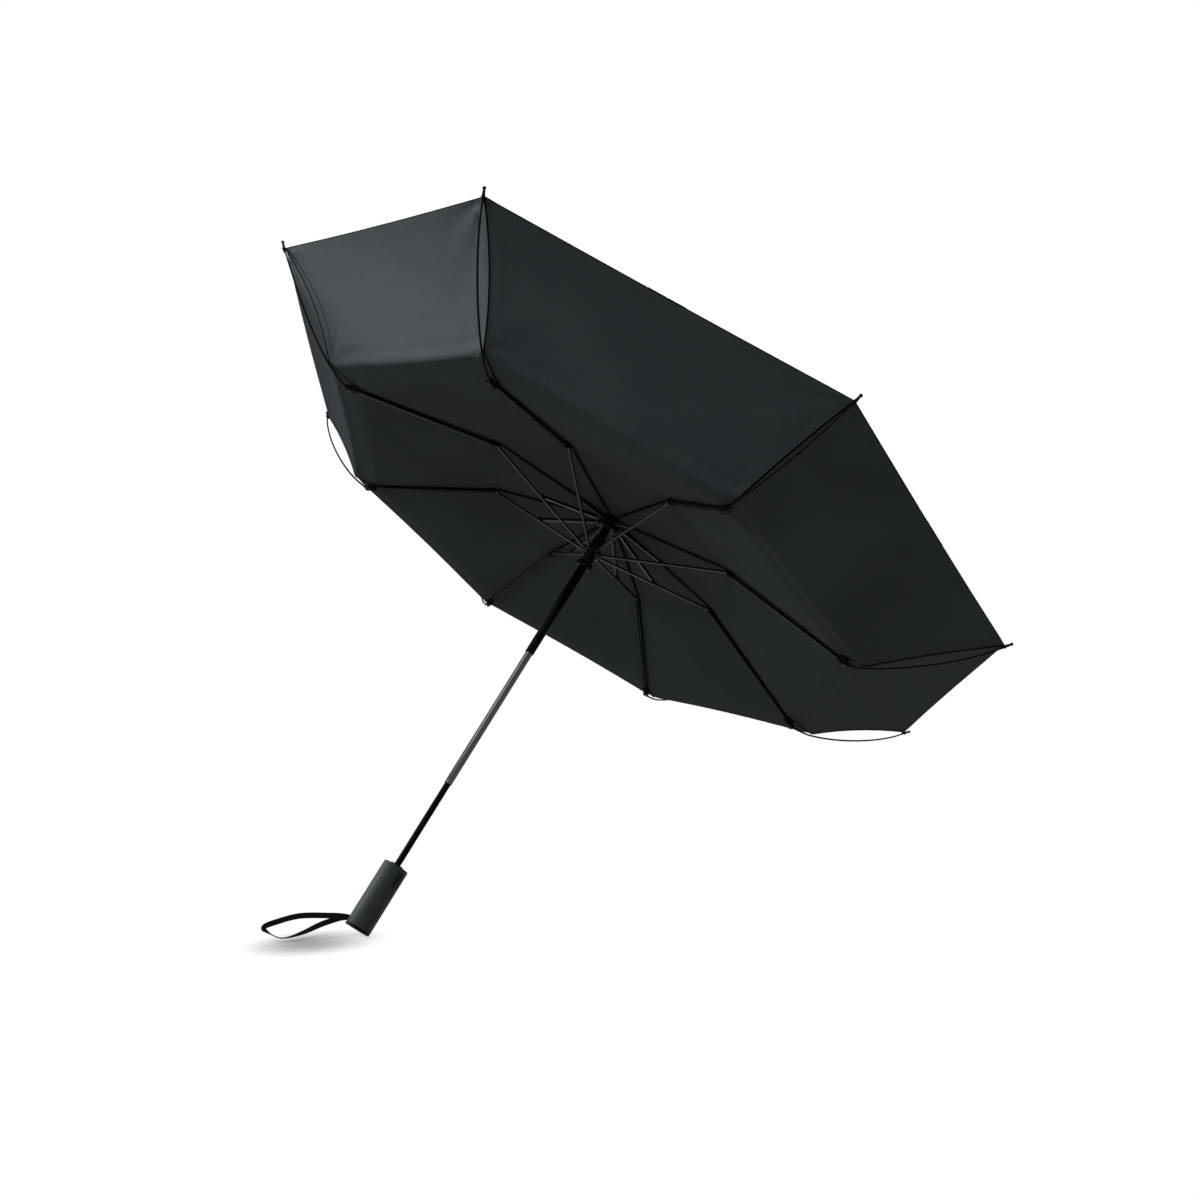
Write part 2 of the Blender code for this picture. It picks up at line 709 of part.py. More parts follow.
def make_mid_rib_mesh():
    """Channel open to the underside, forked at the elbow and at the knuckle."""
    length = MID_RIB_LENGTH
    quarter = math.pi / 2 - MID_RIB_EYE_LEAN
    side = arc((0, 0), EYE_RADIUS, math.pi - quarter, math.pi + quarter, EYE_STEPS)
    side += [(MID_RIB_WEB_SETBACK, -CHANNEL_LIP), (length - MID_RIB_WEB_SETBACK, -CHANNEL_LIP)]
    side += arc((length, 0), EYE_RADIUS, -quarter, quarter, EYE_STEPS)
    side += [(length - MID_RIB_WEB_SETBACK, MID_RIB_BACK), (MID_RIB_WEB_SETBACK, MID_RIB_BACK)]
    rib = plate("mid_rib", [side], -FORK_OUTER, FORK_OUTER)
    near = -EYE_RADIUS - CUT_OVERRUN
    far = length + EYE_RADIUS + CUT_OVERRUN
    web_start = MID_RIB_WEB_SETBACK
    web_end = length - MID_RIB_WEB_SETBACK
    hollow = [
        (near, -CUT_OVERRUN),
        (far, -CUT_OVERRUN),
        (far, CUT_OVERRUN),
        (web_end, CUT_OVERRUN),
        (web_end, CHANNEL_LIP),
        (web_start, CHANNEL_LIP),
        (web_start, CUT_OVERRUN),
        (near, CUT_OVERRUN),
    ]
    rib = combine(rib, plate("hollow", [hollow], -CHANNEL_INNER, CHANNEL_INNER), "DIFFERENCE")
    half = CHANNEL_INNER + FORK_WALL / 2
    rib = combine(rib, pin("elbow_pin", PIN_RADIUS, half, (0, 0)), "UNION")
    rib = combine(rib, pin("knuckle_pin", PIN_RADIUS, half, (length, 0)), "UNION")
    centre = along(LINK_OFFSET_ANGLE - MID_RIB_SLOPE, LINK_OFFSET)
    return add_lug(rib, Vector((0, 0)), centre, CHANNEL_INNER, FORK_OUTER)


def make_link_mesh():
    """Thin wire beside the stretcher with both ends turned in, origin at its inner pivot."""
    length = STRETCHER_OUTER
    bend = 3 * WIRE_RADIUS
    inner = TONGUE_HALF + CLEARANCE / 2
    turn = [(1 - math.cos(a), math.sin(a)) for a in (0.0, math.pi / 4, math.pi / 2)]
    half = [(0, inner, 0)]
    half += [(bend * x, LINK_SIDE - bend + bend * y, 0) for x, y in turn]
    points = half + [(length - x, y, z) for x, y, z in reversed(half)]
    return wire("link_rod", points, WIRE_RADIUS)


def make_knuckle_mesh():
    """Bracket with a tongue in the mid rib's fork and a fork for the outer rod."""
    length = KNUCKLE_LENGTH
    half = KNUCKLE_DEPTH / 2
    neck_half = KNUCKLE_NECK_DEPTH / 2
    outer = CHANNEL_INNER + KNUCKLE_WALL
    side = [(KNUCKLE_NECK, -neck_half), (KNUCKLE_SHOULDER, -half)]
    side += arc((length, 0), half, -math.pi / 2, math.pi / 2, 2 * EYE_STEPS)
    side += [(KNUCKLE_SHOULDER, half), (KNUCKLE_NECK, neck_half)]
    body = plate("knuckle", [side], -outer, outer)
    gap_start = length - EYE_RADIUS - 2 * CLEARANCE
    far = length + half + CUT_OVERRUN
    gap = [
        (gap_start, -CUT_OVERRUN),
        (far, -CUT_OVERRUN),
        (far, CUT_OVERRUN),
        (gap_start, CUT_OVERRUN),
    ]
    body = combine(body, plate("gap", [gap], -CHANNEL_INNER, CHANNEL_INNER), "DIFFERENCE")
    neck_end = (KNUCKLE_NECK + gap_start) / 2
    tongue_half = STRETCHER_DEPTH / 2
    lean = math.asin(tongue_half / EYE_RADIUS)
    tongue = [(neck_end, -tongue_half), (neck_end, tongue_half)]
    tongue += arc((0, 0), EYE_RADIUS, lean, 2 * math.pi - lean, 2 * EYE_STEPS)
    root = plate("tongue", [tongue, circle((0, 0), HOLE_RADIUS)], -TONGUE_HALF, TONGUE_HALF)
    body = combine(body, root, "UNION")
    flip_pin = pin("flip_pin", PIN_RADIUS, CHANNEL_INNER + KNUCKLE_WALL / 2, (length, 0))
    return combine(body, flip_pin, "UNION")


def rod_point(share):
    """Place on the outer rod's cubic curve, measured from the flip pivot."""
    start = Vector((0, 0))
    end = ROD_END - FLIP_PIVOT
    one = start + along(ROD_ROOT_ANGLE, ROD_ROOT_HANDLE)
    two = end - along(ROD_TIP_ANGLE, ROD_TIP_HANDLE)
    rest = 1 - share
    return (
        start * rest**3
        + one * (3 * rest**2 * share)
        + two * (3 * rest * share**2)
        + end * share**3
    )


def make_outer_rib_mesh():
    """Bowed rod with a flat eye at the knuckle and a blunt tip, drawn in its rest place."""
    places = [rod_point(i / ROD_STEPS) for i in range(ROD_STEPS + 1)]
    first = 2 * EYE_RADIUS / OUTER_CHORD
    places[0] = rod_point(first)
    rod = wire("outer_rib", [(p.x, 0, p.y) for p in places], ROD_RADIUS)
    length = 4 * EYE_RADIUS
    outline = [(length, -ROD_RADIUS), (length, ROD_RADIUS)]
    lean = math.asin(ROD_RADIUS / EYE_RADIUS)
    outline += arc((0, 0), EYE_RADIUS, lean, 2 * math.pi - lean, 2 * EYE_STEPS)
    tongue = plate("tongue", [outline, circle((0, 0), HOLE_RADIUS)], -TONGUE_HALF, TONGUE_HALF)
    move_mesh(tongue, Matrix.Rotation(-ROD_ROOT_ANGLE, 4, "Y"))
    rod = combine(rod, tongue, "UNION")
    nose = TIP_RADIUS * TIP_NOSE_SHARE
    tip = turned(
        "tip",
        [
            (0, TIP_LENGTH),
            (TIP_RADIUS - nose, TIP_LENGTH - nose),
            (TIP_RADIUS, TIP_LENGTH - TIP_RADIUS),
            (TIP_RADIUS, -TIP_RADIUS),
            (ROD_RADIUS, -2 * TIP_RADIUS),
            (0, -2 * TIP_RADIUS),
        ],
        TIP_STEPS,
    )
    end = ROD_END - FLIP_PIVOT
    lean_tip = Matrix.Rotation(math.pi / 2 - TIP_ANGLE, 4, "Y")
    move_mesh(tip, Matrix.Translation((end.x, 0, end.y)) @ lean_tip)
    return combine(rod, tip, "UNION")


def place_origin(obj, place):
    """Put an object's origin at a place without moving its shape."""
    obj.data.transform(Matrix.Translation(-place))
    obj.location = place


def place_chain(name, mesh, pivot, slope):
    """Put a copy of one rib piece in each of the eight planes, its origin on its pivot."""
    for index in range(RIB_COUNT):
        copy = new_object(f"{name}_{index + 1}", mesh)
        turn = Matrix.Rotation(rib_azimuth(index), 4, "Z")
        place = Matrix.Translation((pivot.x, 0, pivot.y))
        lean = Matrix.Rotation(-slope, 4, "Y")
        copy.matrix_world = turn @ place @ lean


def make_ribs():
    """Eight chains of six pieces, each piece's mesh made once."""
    pieces = [
        (make_top_rib_mesh, "top_rib", CROWN_PIVOT, TOP_RIB_SLOPE, BLACK_STEEL),
        (make_stretcher_mesh, "stretcher", CROSSING, STRETCHER_SLOPE, BLACK_STEEL),
        (make_link_mesh, "link_rod", LINK_ROOT, STRETCHER_SLOPE, BLACK_STEEL),
        (make_mid_rib_mesh, "mid_rib", ELBOW, MID_RIB_SLOPE, BLACK_STEEL),
        (make_knuckle_mesh, "knuckle", KNUCKLE, MID_RIB_SLOPE, DARK_PLASTIC),
        (make_outer_rib_mesh, "outer_rib", FLIP_PIVOT, 0, ROD_FIBRE),
    ]
    for make, name, pivot, slope, material in pieces:
        pattern = finish(make(), material)
        mesh = pattern.data
        bpy.data.objects.remove(pattern, do_unlink=True)
        place_chain(name, mesh, pivot, slope)


def seam_stations():
    """Places of the cloth's lower face along a seam, from the centre hole to the corner."""
    top = CROWN_TOP_Z + 2 * CLEARANCE
    up = Vector((-math.sin(MID_RIB_SLOPE), math.cos(MID_RIB_SLOPE)))
    elbow = ELBOW + Vector((0, CLOTH_ABOVE_ELBOW))
    knuckle = KNUCKLE + up * CLOTH_ABOVE_KNUCKLE
    corner_normal = Vector((-math.sin(TIP_ANGLE), math.cos(TIP_ANGLE)))
    corner = ROD_END + corner_normal * (TIP_RADIUS + CLEARANCE)
    crease = KNUCKLE + Vector((CREASE_REACH, CLOTH_ABOVE_KNUCKLE + CREASE_RISE))
    stations = [
        Vector((CLOTH_HOLE_RADIUS, top)),
        Vector((RING_RADIUS, top)),
        elbow,
        knuckle,
        crease,
    ]
    chord = corner - crease
    away = Vector((-chord.y, chord.x)).normalized() * SEAM_BOW
    for i in range(1, OUTER_PANEL_STEPS + 1):
        share = i / OUTER_PANEL_STEPS
        stations.append(crease + chord * share + away * (4 * share * (1 - share)))
    return stations


def cloth_sag(index, count):
    """How far the cloth dips between two ribs at a station."""
    crease_index = count - 1 - OUTER_PANEL_STEPS
    if index < 2:
        return 0
    if index <= crease_index:
        return CREASE_SAG * (index - 1) / (crease_index - 1)
    share = (index - crease_index) / OUTER_PANEL_STEPS
    return CREASE_SAG * (1 - share) + HEM_SAG * share


def make_canopy():
    """Eight taut gores lofted from seam to seam, thickened to a shell."""
    stations = seam_stations()
    columns = RIB_COUNT * GORE_STEPS
    work = bmesh.new()
    rows = []
    for index, station in enumerate(stations):
        row = []
        for column in range(columns):
            gore, step = divmod(column, GORE_STEPS)
            share = step / GORE_STEPS
            first, second = rib_azimuth(gore), rib_azimuth(gore + 1)
            a = Vector((math.cos(first), math.sin(first))) * station.x
            b = Vector((math.cos(second), math.sin(second))) * station.x
            flat = a.lerp(b, share)
            if index < 2:
                flat = flat.normalized() * station.x
            sag = cloth_sag(index, len(stations)) * math.sin(math.pi * share)
            flat = flat * (1 - sag / max(flat.length, CLOTH_HOLE_RADIUS))
            row.append(work.verts.new((flat.x, flat.y, station.y)))
        rows.append(row)
    for inner, outer in zip(rows, rows[1:]):
        for column in range(columns):
            after = (column + 1) % columns
            work.faces.new((inner[column], outer[column], outer[after], inner[after]))
    mesh = bpy.data.meshes.new("canopy")
    work.to_mesh(mesh)
    work.free()
    canopy = new_object("canopy", mesh)
    shell = canopy.modifiers.new("Solidify", "SOLIDIFY")
    shell.thickness = CLOTH_THICKNESS
    shell.offset = 1
    shell.use_even_offset = True
    return finish(bake(canopy), CLOTH, CLOTH_SHARP_ANGLE)


def strap_route():
    """Middle line of the strap's loop as places (distance from the shaft, height)."""
    shares = STRAP_UPPER_SHARES + STRAP_LOWER_SHARES
    return [(STRAP_ROOT + STRAP_REACH * x, STRAP_ROOT_HEIGHT - STRAP_DROP * z) for x, z in shares]


def smooth_route(places, count):
    """Even points on the smooth curve through the places, with its heading."""
    ends = [places[0]] + places + [places[-1]]
    dense = []
    for i in range(len(places) - 1):
        p0, p1, p2, p3 = (Vector(ends[i + k]) for k in range(4))
        for step in range(ROUTE_STEPS):
            s = step / ROUTE_STEPS
            place = 2 * p1 + (p2 - p0) * s
            place += (2 * p0 - 5 * p1 + 4 * p2 - p3) * s**2
            place += (3 * p1 - p0 - 3 * p2 + p3) * s**3
            dense.append(place / 2)
    dense.append(Vector(places[-1]))
    runs = [0.0]
    for a, b in zip(dense, dense[1:]):
        runs.append(runs[-1] + (b - a).length)
    made = []
    for i in range(count + 1):
        target = runs[-1] * i / count
        k = max(1, next((j for j, run in enumerate(runs) if run >= target), len(runs) - 1))
        share = (target - runs[k - 1]) / max(runs[k] - runs[k - 1], CLEARANCE / 100)
        made.append((dense[k - 1].lerp(dense[k], share), (dense[k] - dense[k - 1]).normalized()))
    return made


def ease(value, start, end):
    """Smooth step from 0 at start to 1 at end."""
    part = min(1, max(0, (value - start) / (end - start)))
    return part * part * (3 - 2 * part)


def strap_twist(share):
    """Quarter turn before the far end, another on the way back."""
    first = ease(share, STRAP_TWIST_START_SHARE, STRAP_TURN_SHARE)
    second = ease(share, STRAP_TURN_SHARE, STRAP_TWIST_END_SHARE)
    return (first + second) * math.pi / 2


def make_strap():
    """Flat webbing out of the handle and back, edge on where it turns round."""
    apart = (STRAP_THICKNESS + CLEARANCE) / 2
    work = bmesh.new()
    rings = []
    for index, (place, heading) in enumerate(smooth_route(strap_route(), STRAP_STEPS)):
        share = index / STRAP_STEPS
        twist = strap_twist(share)
        centre = Vector((-place.x, apart * math.cos(math.pi * share), place.y))
        forward = Vector((-heading.x, 0, heading.y))
        across = Vector((heading.y, 0, heading.x))
        width = across * math.cos(twist) + Vector((0, math.sin(twist), 0))
        thick = forward.cross(width) * (STRAP_THICKNESS / 2)
        half = width * (STRAP_WIDTH / 2)
        corners = (half + thick, half - thick, -half - thick, -half + thick)
        rings.append([work.verts.new(centre + corner) for corner in corners])
    for first, second in zip(rings, rings[1:]):
        for k in range(4):
            after = (k + 1) % 4
            work.faces.new((first[k], first[after], second[after], second[k]))
    work.faces.new(list(reversed(rings[0])))
    work.faces.new(rings[-1])
    bmesh.ops.recalc_face_normals(work, faces=work.faces)
    mesh = bpy.data.meshes.new("wrist_strap")
    work.to_mesh(mesh)
    work.free()
    strap = finish(new_object("wrist_strap", mesh), WEBBING)
    place_origin(strap, Vector((STRAP_PIVOT_DEPTH - GRIP_RADIUS, 0, STRAP_ROOT_HEIGHT)))
    return strap


clear_scene()
PARTS = make_collection("windproof_umbrella")
PLASTIC = make_material("handle_plastic", (0.035, 0.042, 0.046), 0.55, 0.0)
DARK_PLASTIC = make_material("dark_plastic", (0.010, 0.011, 0.013), 0.45, 0.0)
BLACK_STEEL = make_material("black_steel", (0.008, 0.009, 0.011), 0.35, 0.9)
GREY_STEEL = make_material("grey_steel", (0.16, 0.17, 0.18), 0.30, 1.0)
ROD_FIBRE = make_material("rod_fibre", (0.010, 0.010, 0.012), 0.40, 0.0)
CLOTH = make_material("canopy_cloth", (0.022, 0.027, 0.030), 0.75, 0.0)
WEBBING = make_material("strap_webbing", (0.008, 0.008, 0.009), 0.80, 0.0)

make_grip()
make_button()
make_end_cap()
make_collar()
make_tubes()
make_crown()
make_runner()
make_top_cap()
make_ribs()
make_canopy()
make_strap()
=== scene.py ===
import json
import math

import bmesh
import bpy
import numpy as np
from mathutils import Matrix, Vector


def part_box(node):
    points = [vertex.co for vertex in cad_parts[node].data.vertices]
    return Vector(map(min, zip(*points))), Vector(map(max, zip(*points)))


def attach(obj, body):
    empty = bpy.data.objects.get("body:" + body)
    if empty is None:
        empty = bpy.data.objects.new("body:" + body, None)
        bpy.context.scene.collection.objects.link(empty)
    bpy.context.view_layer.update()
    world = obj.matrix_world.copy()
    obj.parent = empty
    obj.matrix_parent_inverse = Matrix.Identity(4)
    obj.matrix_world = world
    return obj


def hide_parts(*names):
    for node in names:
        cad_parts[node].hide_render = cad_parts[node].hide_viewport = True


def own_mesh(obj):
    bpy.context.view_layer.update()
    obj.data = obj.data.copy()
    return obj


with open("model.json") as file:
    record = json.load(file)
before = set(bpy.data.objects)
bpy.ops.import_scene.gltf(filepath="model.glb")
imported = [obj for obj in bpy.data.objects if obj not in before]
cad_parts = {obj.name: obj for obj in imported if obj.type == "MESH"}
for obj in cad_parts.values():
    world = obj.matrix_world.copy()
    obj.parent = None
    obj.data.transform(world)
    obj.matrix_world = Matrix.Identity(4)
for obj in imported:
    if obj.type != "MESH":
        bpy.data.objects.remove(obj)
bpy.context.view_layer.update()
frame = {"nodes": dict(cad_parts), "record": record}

# Rib chains: eight upright planes round the shaft
RIBS = range(1, 9)
PHASE = math.radians(22.5)
STEP = math.radians(45)
JOINT_PLACES = {joint["name"]: joint for joint in frame["record"]["behaviour"]["joints"]}

# Cloth's line over a rib as (radius, height), crown hole first and corner last
INNER_STATIONS = np.array(
    [
        (0.0062, 0.55835), (0.0133, 0.55835), (0.1644, 0.54600),
        (0.33109, 0.49152), (0.36899, 0.49369),
    ]
)
CORNER = np.array((0.48225, 0.57145))
SEAM_BOW = 0.0078
BOW_SHARES = np.arange(1, 7)[:, None] / 7
OUTER_CHORD = CORNER - INNER_STATIONS[-1]
CHORD_NORMAL = np.array((-OUTER_CHORD[1], OUTER_CHORD[0])) / np.linalg.norm(OUTER_CHORD)
BOWED_STATIONS = (
    INNER_STATIONS[-1]
    + BOW_SHARES * OUTER_CHORD
    + 4 * SEAM_BOW * BOW_SHARES * (1 - BOW_SHARES) * CHORD_NORMAL
)
SEAM_LINE = np.concatenate([INNER_STATIONS, BOWED_STATIONS, [CORNER]])
CLOTH_THICKNESS = 0.00035
CROSSING_RADIUS = 0.0903
ELBOW_RADIUS = 0.1644
HINGE_RADIUS = 0.3420
HEM_BAND = 0.0085
HEM_DIPS = (0.0025, 0.0025, 0.0020, -0.0020, 0.0018, 0.0015, 0.0015, 0.0012)
CREASE_DIP = 0.0030
CREASE_ROLL = 0.0013
ROLL_REACH = 0.070
ROLL_PLACE, ROLL_WIDTH = 0.009, 0.007
TUCK_PLACE, TUCK_WIDTH = -0.005, 0.005

# Laps on the far face, which keep the cloth closed when the outer ribs are flipped back:
# where the outer cloth starts and the crease cloth ends beyond the hinge in mid-gore
LAP_START = 0.020
LAP_END = 0.053
LAP_AT_RIB = 0.018
SIDE_LAP = 0.019
LAP_LIFT = 0.0006
LAP_STEP = 0.0012
LAP_FADE = 0.060
LAP_ROW_GAP = 0.00005
LAP_SPREAD_CAP = 1.2

# How far the wind has pulled each crease and corner off its even place: out, sideways, up
CREASE_DRIFT = {
    1: (0.0033, 0.0, -0.0007), 5: (0.0034, 0.0, 0.0010), 6: (0.0046, -0.0006, 0.0007),
    7: (-0.0100, -0.0030, -0.0020), 8: (-0.0100, 0.0, -0.0040),
}
CORNER_DRIFT = {
    1: (0.0100, -0.0010, 0.0045), 4: (-0.0076, -0.0012, -0.0044), 5: (0.0022, 0.0, 0.0010),
    6: (0.0108, -0.0012, 0.0010), 8: (-0.0017, 0.0, -0.0037),
}
BOW_EASE = {1: 0.0038, 4: 0.0042, 7: 0.0030, 8: 0.0058}
SLACK_RODS = {5: (math.radians(35), 0.0180)}


# Mesh helpers


def unit(vectors):
    """Vectors scaled to length one."""
    return vectors / np.linalg.norm(vectors, axis=-1, keepdims=True)


def eased(value, start, end):
    """Smooth step from 0 at start to 1 at end."""
    part = np.clip((value - start) / (end - start), 0, 1)
    return part * part * (3 - 2 * part)


def lengths_along(line):
    """Length walked from a line's start to each of its points."""
    return np.concatenate([[0], np.cumsum(np.linalg.norm(np.diff(line, axis=0), axis=1))])


def walked(line, stops, runs):
    """Places on a line at given lengths, from the length at each of its points."""
    return np.stack([np.interp(runs, stops, values) for values in line.T], axis=1)


def full_turn(count):
    """Even angles round a circle."""
    return np.linspace(0, 2 * math.pi, count, endpoint=False)


def rib_axes(rib):
    """Outward and sideways unit vectors of a rib's upright plane."""
    turn = PHASE + (rib - 1) * STEP
    outward = np.array((math.cos(turn), math.sin(turn), 0.0))
    sideways = np.array((-math.sin(turn), math.cos(turn), 0.0))
    return outward, sideways


def in_plane(rib, places, side=0.0):
    """Places (radius, height) of a rib's plane as points in the frame."""
    outward, sideways = rib_axes(rib)
    places = np.asarray(places, dtype=float)
    points = places[..., :1] * outward
    points = points + np.asarray(side)[..., None] * sideways
    points[..., 2] += places[..., 1]
    return points


def grid_faces(rows, columns, ring=False):
    """Quads of a grid of points, its columns joined round where ring is true."""
    row = np.arange(rows - 1)[:, None]
    column = np.arange(columns if ring else columns - 1)[None, :]
    after = (column + 1) % columns
    a = row * columns + column
    b = row * columns + after
    c = (row + 1) * columns + after
    d = (row + 1) * columns + column
    return np.stack([a, b, c, d], axis=-1).reshape(-1, 4)


def add_object(name, data):
    """A new object in the scene."""
    made = bpy.data.objects.new(name, data)
    bpy.context.scene.collection.objects.link(made)
    return made


def new_piece(name, shape, material, body=None):
    """One mesh object from (points, faces), riding on a body where one is given."""
    points, faces = shape
    mesh = bpy.data.meshes.new(name)
    mesh.from_pydata(np.asarray(points).reshape(-1, 3).tolist(), [], [list(f) for f in faces])
    mesh.update()
    mesh.shade_smooth()
    mesh.materials.append(material)
    piece = add_object(name, mesh)
    if body is not None:
        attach(piece, body)
    return piece


def set_values(mesh, label, values):
    """Attribute of one number per point."""
    attribute = mesh.attributes.new(label, "FLOAT", "POINT")
    attribute.data.foreach_set("value", values.astype(np.float32))


def set_uv(mesh, name, flat):
    """UV layer from one flat place per point."""
    loops = np.empty(len(mesh.loops), dtype=np.int64)
    mesh.loops.foreach_get("vertex_index", loops)
    mesh.uv_layers.new(name=name).data.foreach_set("uv", flat[loops].astype(np.float32).ravel())


def join_shapes(shapes):
    """Several (points, faces) as one, their numbers moved on."""
    points, faces, start = [], [], 0
    for shape_points, shape_faces in shapes:
        shape_points = np.asarray(shape_points).reshape(-1, 3)
        points.append(shape_points)
        faces += [[int(k) + start for k in face] for face in shape_faces]
        start += len(shape_points)
    return np.concatenate(points), faces


def swept(path, side, radii, count=12, flat=1.0, closed=False):
    """Round profile carried along a path. side is the direction across the path's plane.

    The section at each point is radius * (cos t * normal + sin t * side), with the
    normal square to the path's heading, and flat scales it along the side.
    """
    if closed:
        heading = np.roll(path, -1, axis=0) - np.roll(path, 1, axis=0)
    else:
        heading = np.gradient(path, axis=0)
    normal = unit(np.cross(side, unit(heading)))
    turn = full_turn(count)[None, :, None]
    ring = np.cos(turn) * normal[:, None, :] + flat * np.sin(turn) * np.asarray(side)
    points = (path[:, None, :] + np.reshape(radii, (-1, 1, 1)) * ring).reshape(-1, 3)
    if closed:
        faces = grid_faces(len(path) + 1, count, ring=True)[:, ::-1] % len(points)
        return points, faces.tolist()
    faces = grid_faces(len(path), count, ring=True)[:, ::-1].tolist()
    faces.append(list(range(count)))
    faces.append(list(range(len(points) - 1, len(points) - count - 1, -1)))
    return points, faces


def spun(profile, count, centre=(0, 0, 0), axis=(0, 0, 1), loop=False):
    """Profile of (radius, height) carried round an axis, its ends on the axis as poles.

    Where loop is true the profile closes on itself and has no poles.
    """
    profile = np.asarray(profile, dtype=float)
    axis = Vector(axis).normalized()
    turn_to = np.array(Vector((0, 0, 1)).rotation_difference(axis).to_matrix())
    turn = full_turn(count)
    body = profile if loop else profile[1:-1]
    rings = [body[:, :1] * np.cos(turn), body[:, :1] * np.sin(turn)]
    rings.append(np.repeat(body[:, 1:], count, axis=1))
    points = np.stack(rings, axis=-1).reshape(-1, 3)
    first = len(points)
    if loop:
        faces = (grid_faces(len(body) + 1, count, ring=True) % first).tolist()
        return points @ turn_to.T + np.asarray(centre), faces
    faces = grid_faces(len(body), count, ring=True).tolist()
    points = np.concatenate([points, [(0, 0, profile[0, 1]), (0, 0, profile[-1, 1])]])
    after = ((np.arange(count) + 1) % count).tolist()
    base = first - count
    faces += [(first, b, a) for a, b in enumerate(after)]
    faces += [(first + 1, base + a, base + b) for a, b in enumerate(after)]
    return points @ turn_to.T + np.asarray(centre), faces


MERGE_DISTANCE = 0.000002
FLAT_ANGLE = math.radians(0.5)
SHARP_ANGLE = math.radians(30)
BROKEN_ANGLE = math.radians(32)


def merged_copy(node, name, material, bevel, body):
    """A CAD node's form with its doubles merged and its edges softly broken."""
    mesh = frame["nodes"][node].data.copy()
    mesh.name = name
    mesh.materials.clear()
    mesh.materials.append(material)
    piece = add_object(name, mesh)
    work = bmesh.new()
    work.from_mesh(mesh)
    bmesh.ops.remove_doubles(work, verts=work.verts, dist=MERGE_DISTANCE)
    bmesh.ops.dissolve_limit(work, angle_limit=FLAT_ANGLE, verts=work.verts, edges=work.edges)
    bmesh.ops.recalc_face_normals(work, faces=work.faces)
    work.to_mesh(mesh)
    work.free()
    mesh.shade_smooth()
    mesh.set_sharp_from_angle(angle=SHARP_ANGLE)
    edge = piece.modifiers.new("broken_edges", "BEVEL")
    edge.width = bevel
    edge.segments = 2
    edge.limit_method = "ANGLE"
    edge.angle_limit = BROKEN_ANGLE
    edge.harden_normals = True
    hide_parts(node)
    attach(piece, body)


# Shader groups


def add_node(tree, kind, inputs=None, **settings):
    """A shader node with its settings, then its inputs: each a value or a socket."""
    node = tree.nodes.new("ShaderNode" + kind)
    for label, value in settings.items():
        setattr(node, label, value)
    for key, value in (inputs or {}).items():
        if isinstance(value, (int, float, tuple)):
            node.inputs[key].default_value = value
        else:
            tree.links.new(value, node.inputs[key])
    return node


def math_node(tree, operation, *values):
    """A Math node whose inputs are numbers or sockets."""
    return add_node(tree, "Math", dict(enumerate(values)), operation=operation).outputs[0]


def shader_group(name, inputs, *outputs):
    """An empty group: inputs by name with their values, a float or a vector, and outputs.

    Gives its tree, the inputs' and outputs' sockets, and a call for its Math nodes.
    """
    tree = bpy.data.node_groups.new(name, "ShaderNodeTree")
    for label, value in inputs.items():
        kind = "NodeSocketFloat" if isinstance(value, float) else "NodeSocketVector"
        socket = tree.interface.new_socket(label, in_out="INPUT", socket_type=kind)
        if value is not None:
            socket.default_value = value
    for label in outputs:
        tree.interface.new_socket(label, in_out="OUTPUT", socket_type="NodeSocketFloat")
    given = tree.nodes.new("NodeGroupInput").outputs
    result = tree.nodes.new("NodeGroupOutput").inputs
    return tree, given, result, lambda *values: math_node(tree, *values)


def make_weave_group():
    """Plain weave: the product of two sine waves at right angles, with uneven threads."""
    tree, given, result, calc = shader_group(
        "plain_weave",
        {"Place": None, "Threads per metre": 4000.0, "Unevenness": 0.3},
        "Height",
        "Shade",
    )
    split = add_node(tree, "SeparateXYZ", {0: given["Place"]}).outputs
    rate = calc("MULTIPLY", given["Threads per metre"], math.pi)
    across = calc("SINE", calc("MULTIPLY", split[0], rate))
    along = calc("SINE", calc("MULTIPLY", split[1], rate))
    product = calc("MULTIPLY", across, along)
    slub = add_node(tree, "TexNoise", {"Vector": given["Place"], "Scale": 260.0, "Detail": 3.0})
    uneven = calc("MULTIPLY", slub.outputs[0], given["Unevenness"])
    height = calc("ADD", calc("MULTIPLY", product, 0.5), uneven)
    tree.links.new(height, result["Height"])
    shade = calc("ADD", calc("MULTIPLY", product, 0.25), 0.75)
    tree.links.new(calc("ADD", shade, uneven), result["Shade"])
    return tree


def make_mottle_group():
    """Soft cloudy variation between two levels."""
    tree, given, result, _ = shader_group(
        "soft_mottle", {"Place": None, "Scale": 40.0, "Low": 0.8, "High": 1.2}, "Level"
    )
    noise = add_node(
        tree,
        "TexNoise",
        {"Vector": given["Place"], "Scale": given["Scale"], "Detail": 5.0, "Roughness": 0.6},
    )
    limits = {"From Min": 0.3, "From Max": 0.7, "To Min": given["Low"], "To Max": given["High"]}
    spread = add_node(tree, "MapRange", {"Value": noise.outputs[0], **limits})
    tree.links.new(spread.outputs[0], result["Level"])
    return tree


def make_grain_group():
    """Fine moulded grain: small cells over finer noise."""
    tree, given, result, calc = shader_group(
        "moulded_grain", {"Place": None, "Scale": 1800.0}, "Height"
    )
    at = {"Vector": given["Place"], "Scale": given["Scale"]}
    cells = add_node(tree, "TexVoronoi", at)
    noise = add_node(tree, "TexNoise", {**at, "Detail": 2.0})
    half = calc("MULTIPLY", noise.outputs[0], 0.5)
    tree.links.new(calc("ADD", cells.outputs["Distance"], half), result["Height"])
    return tree


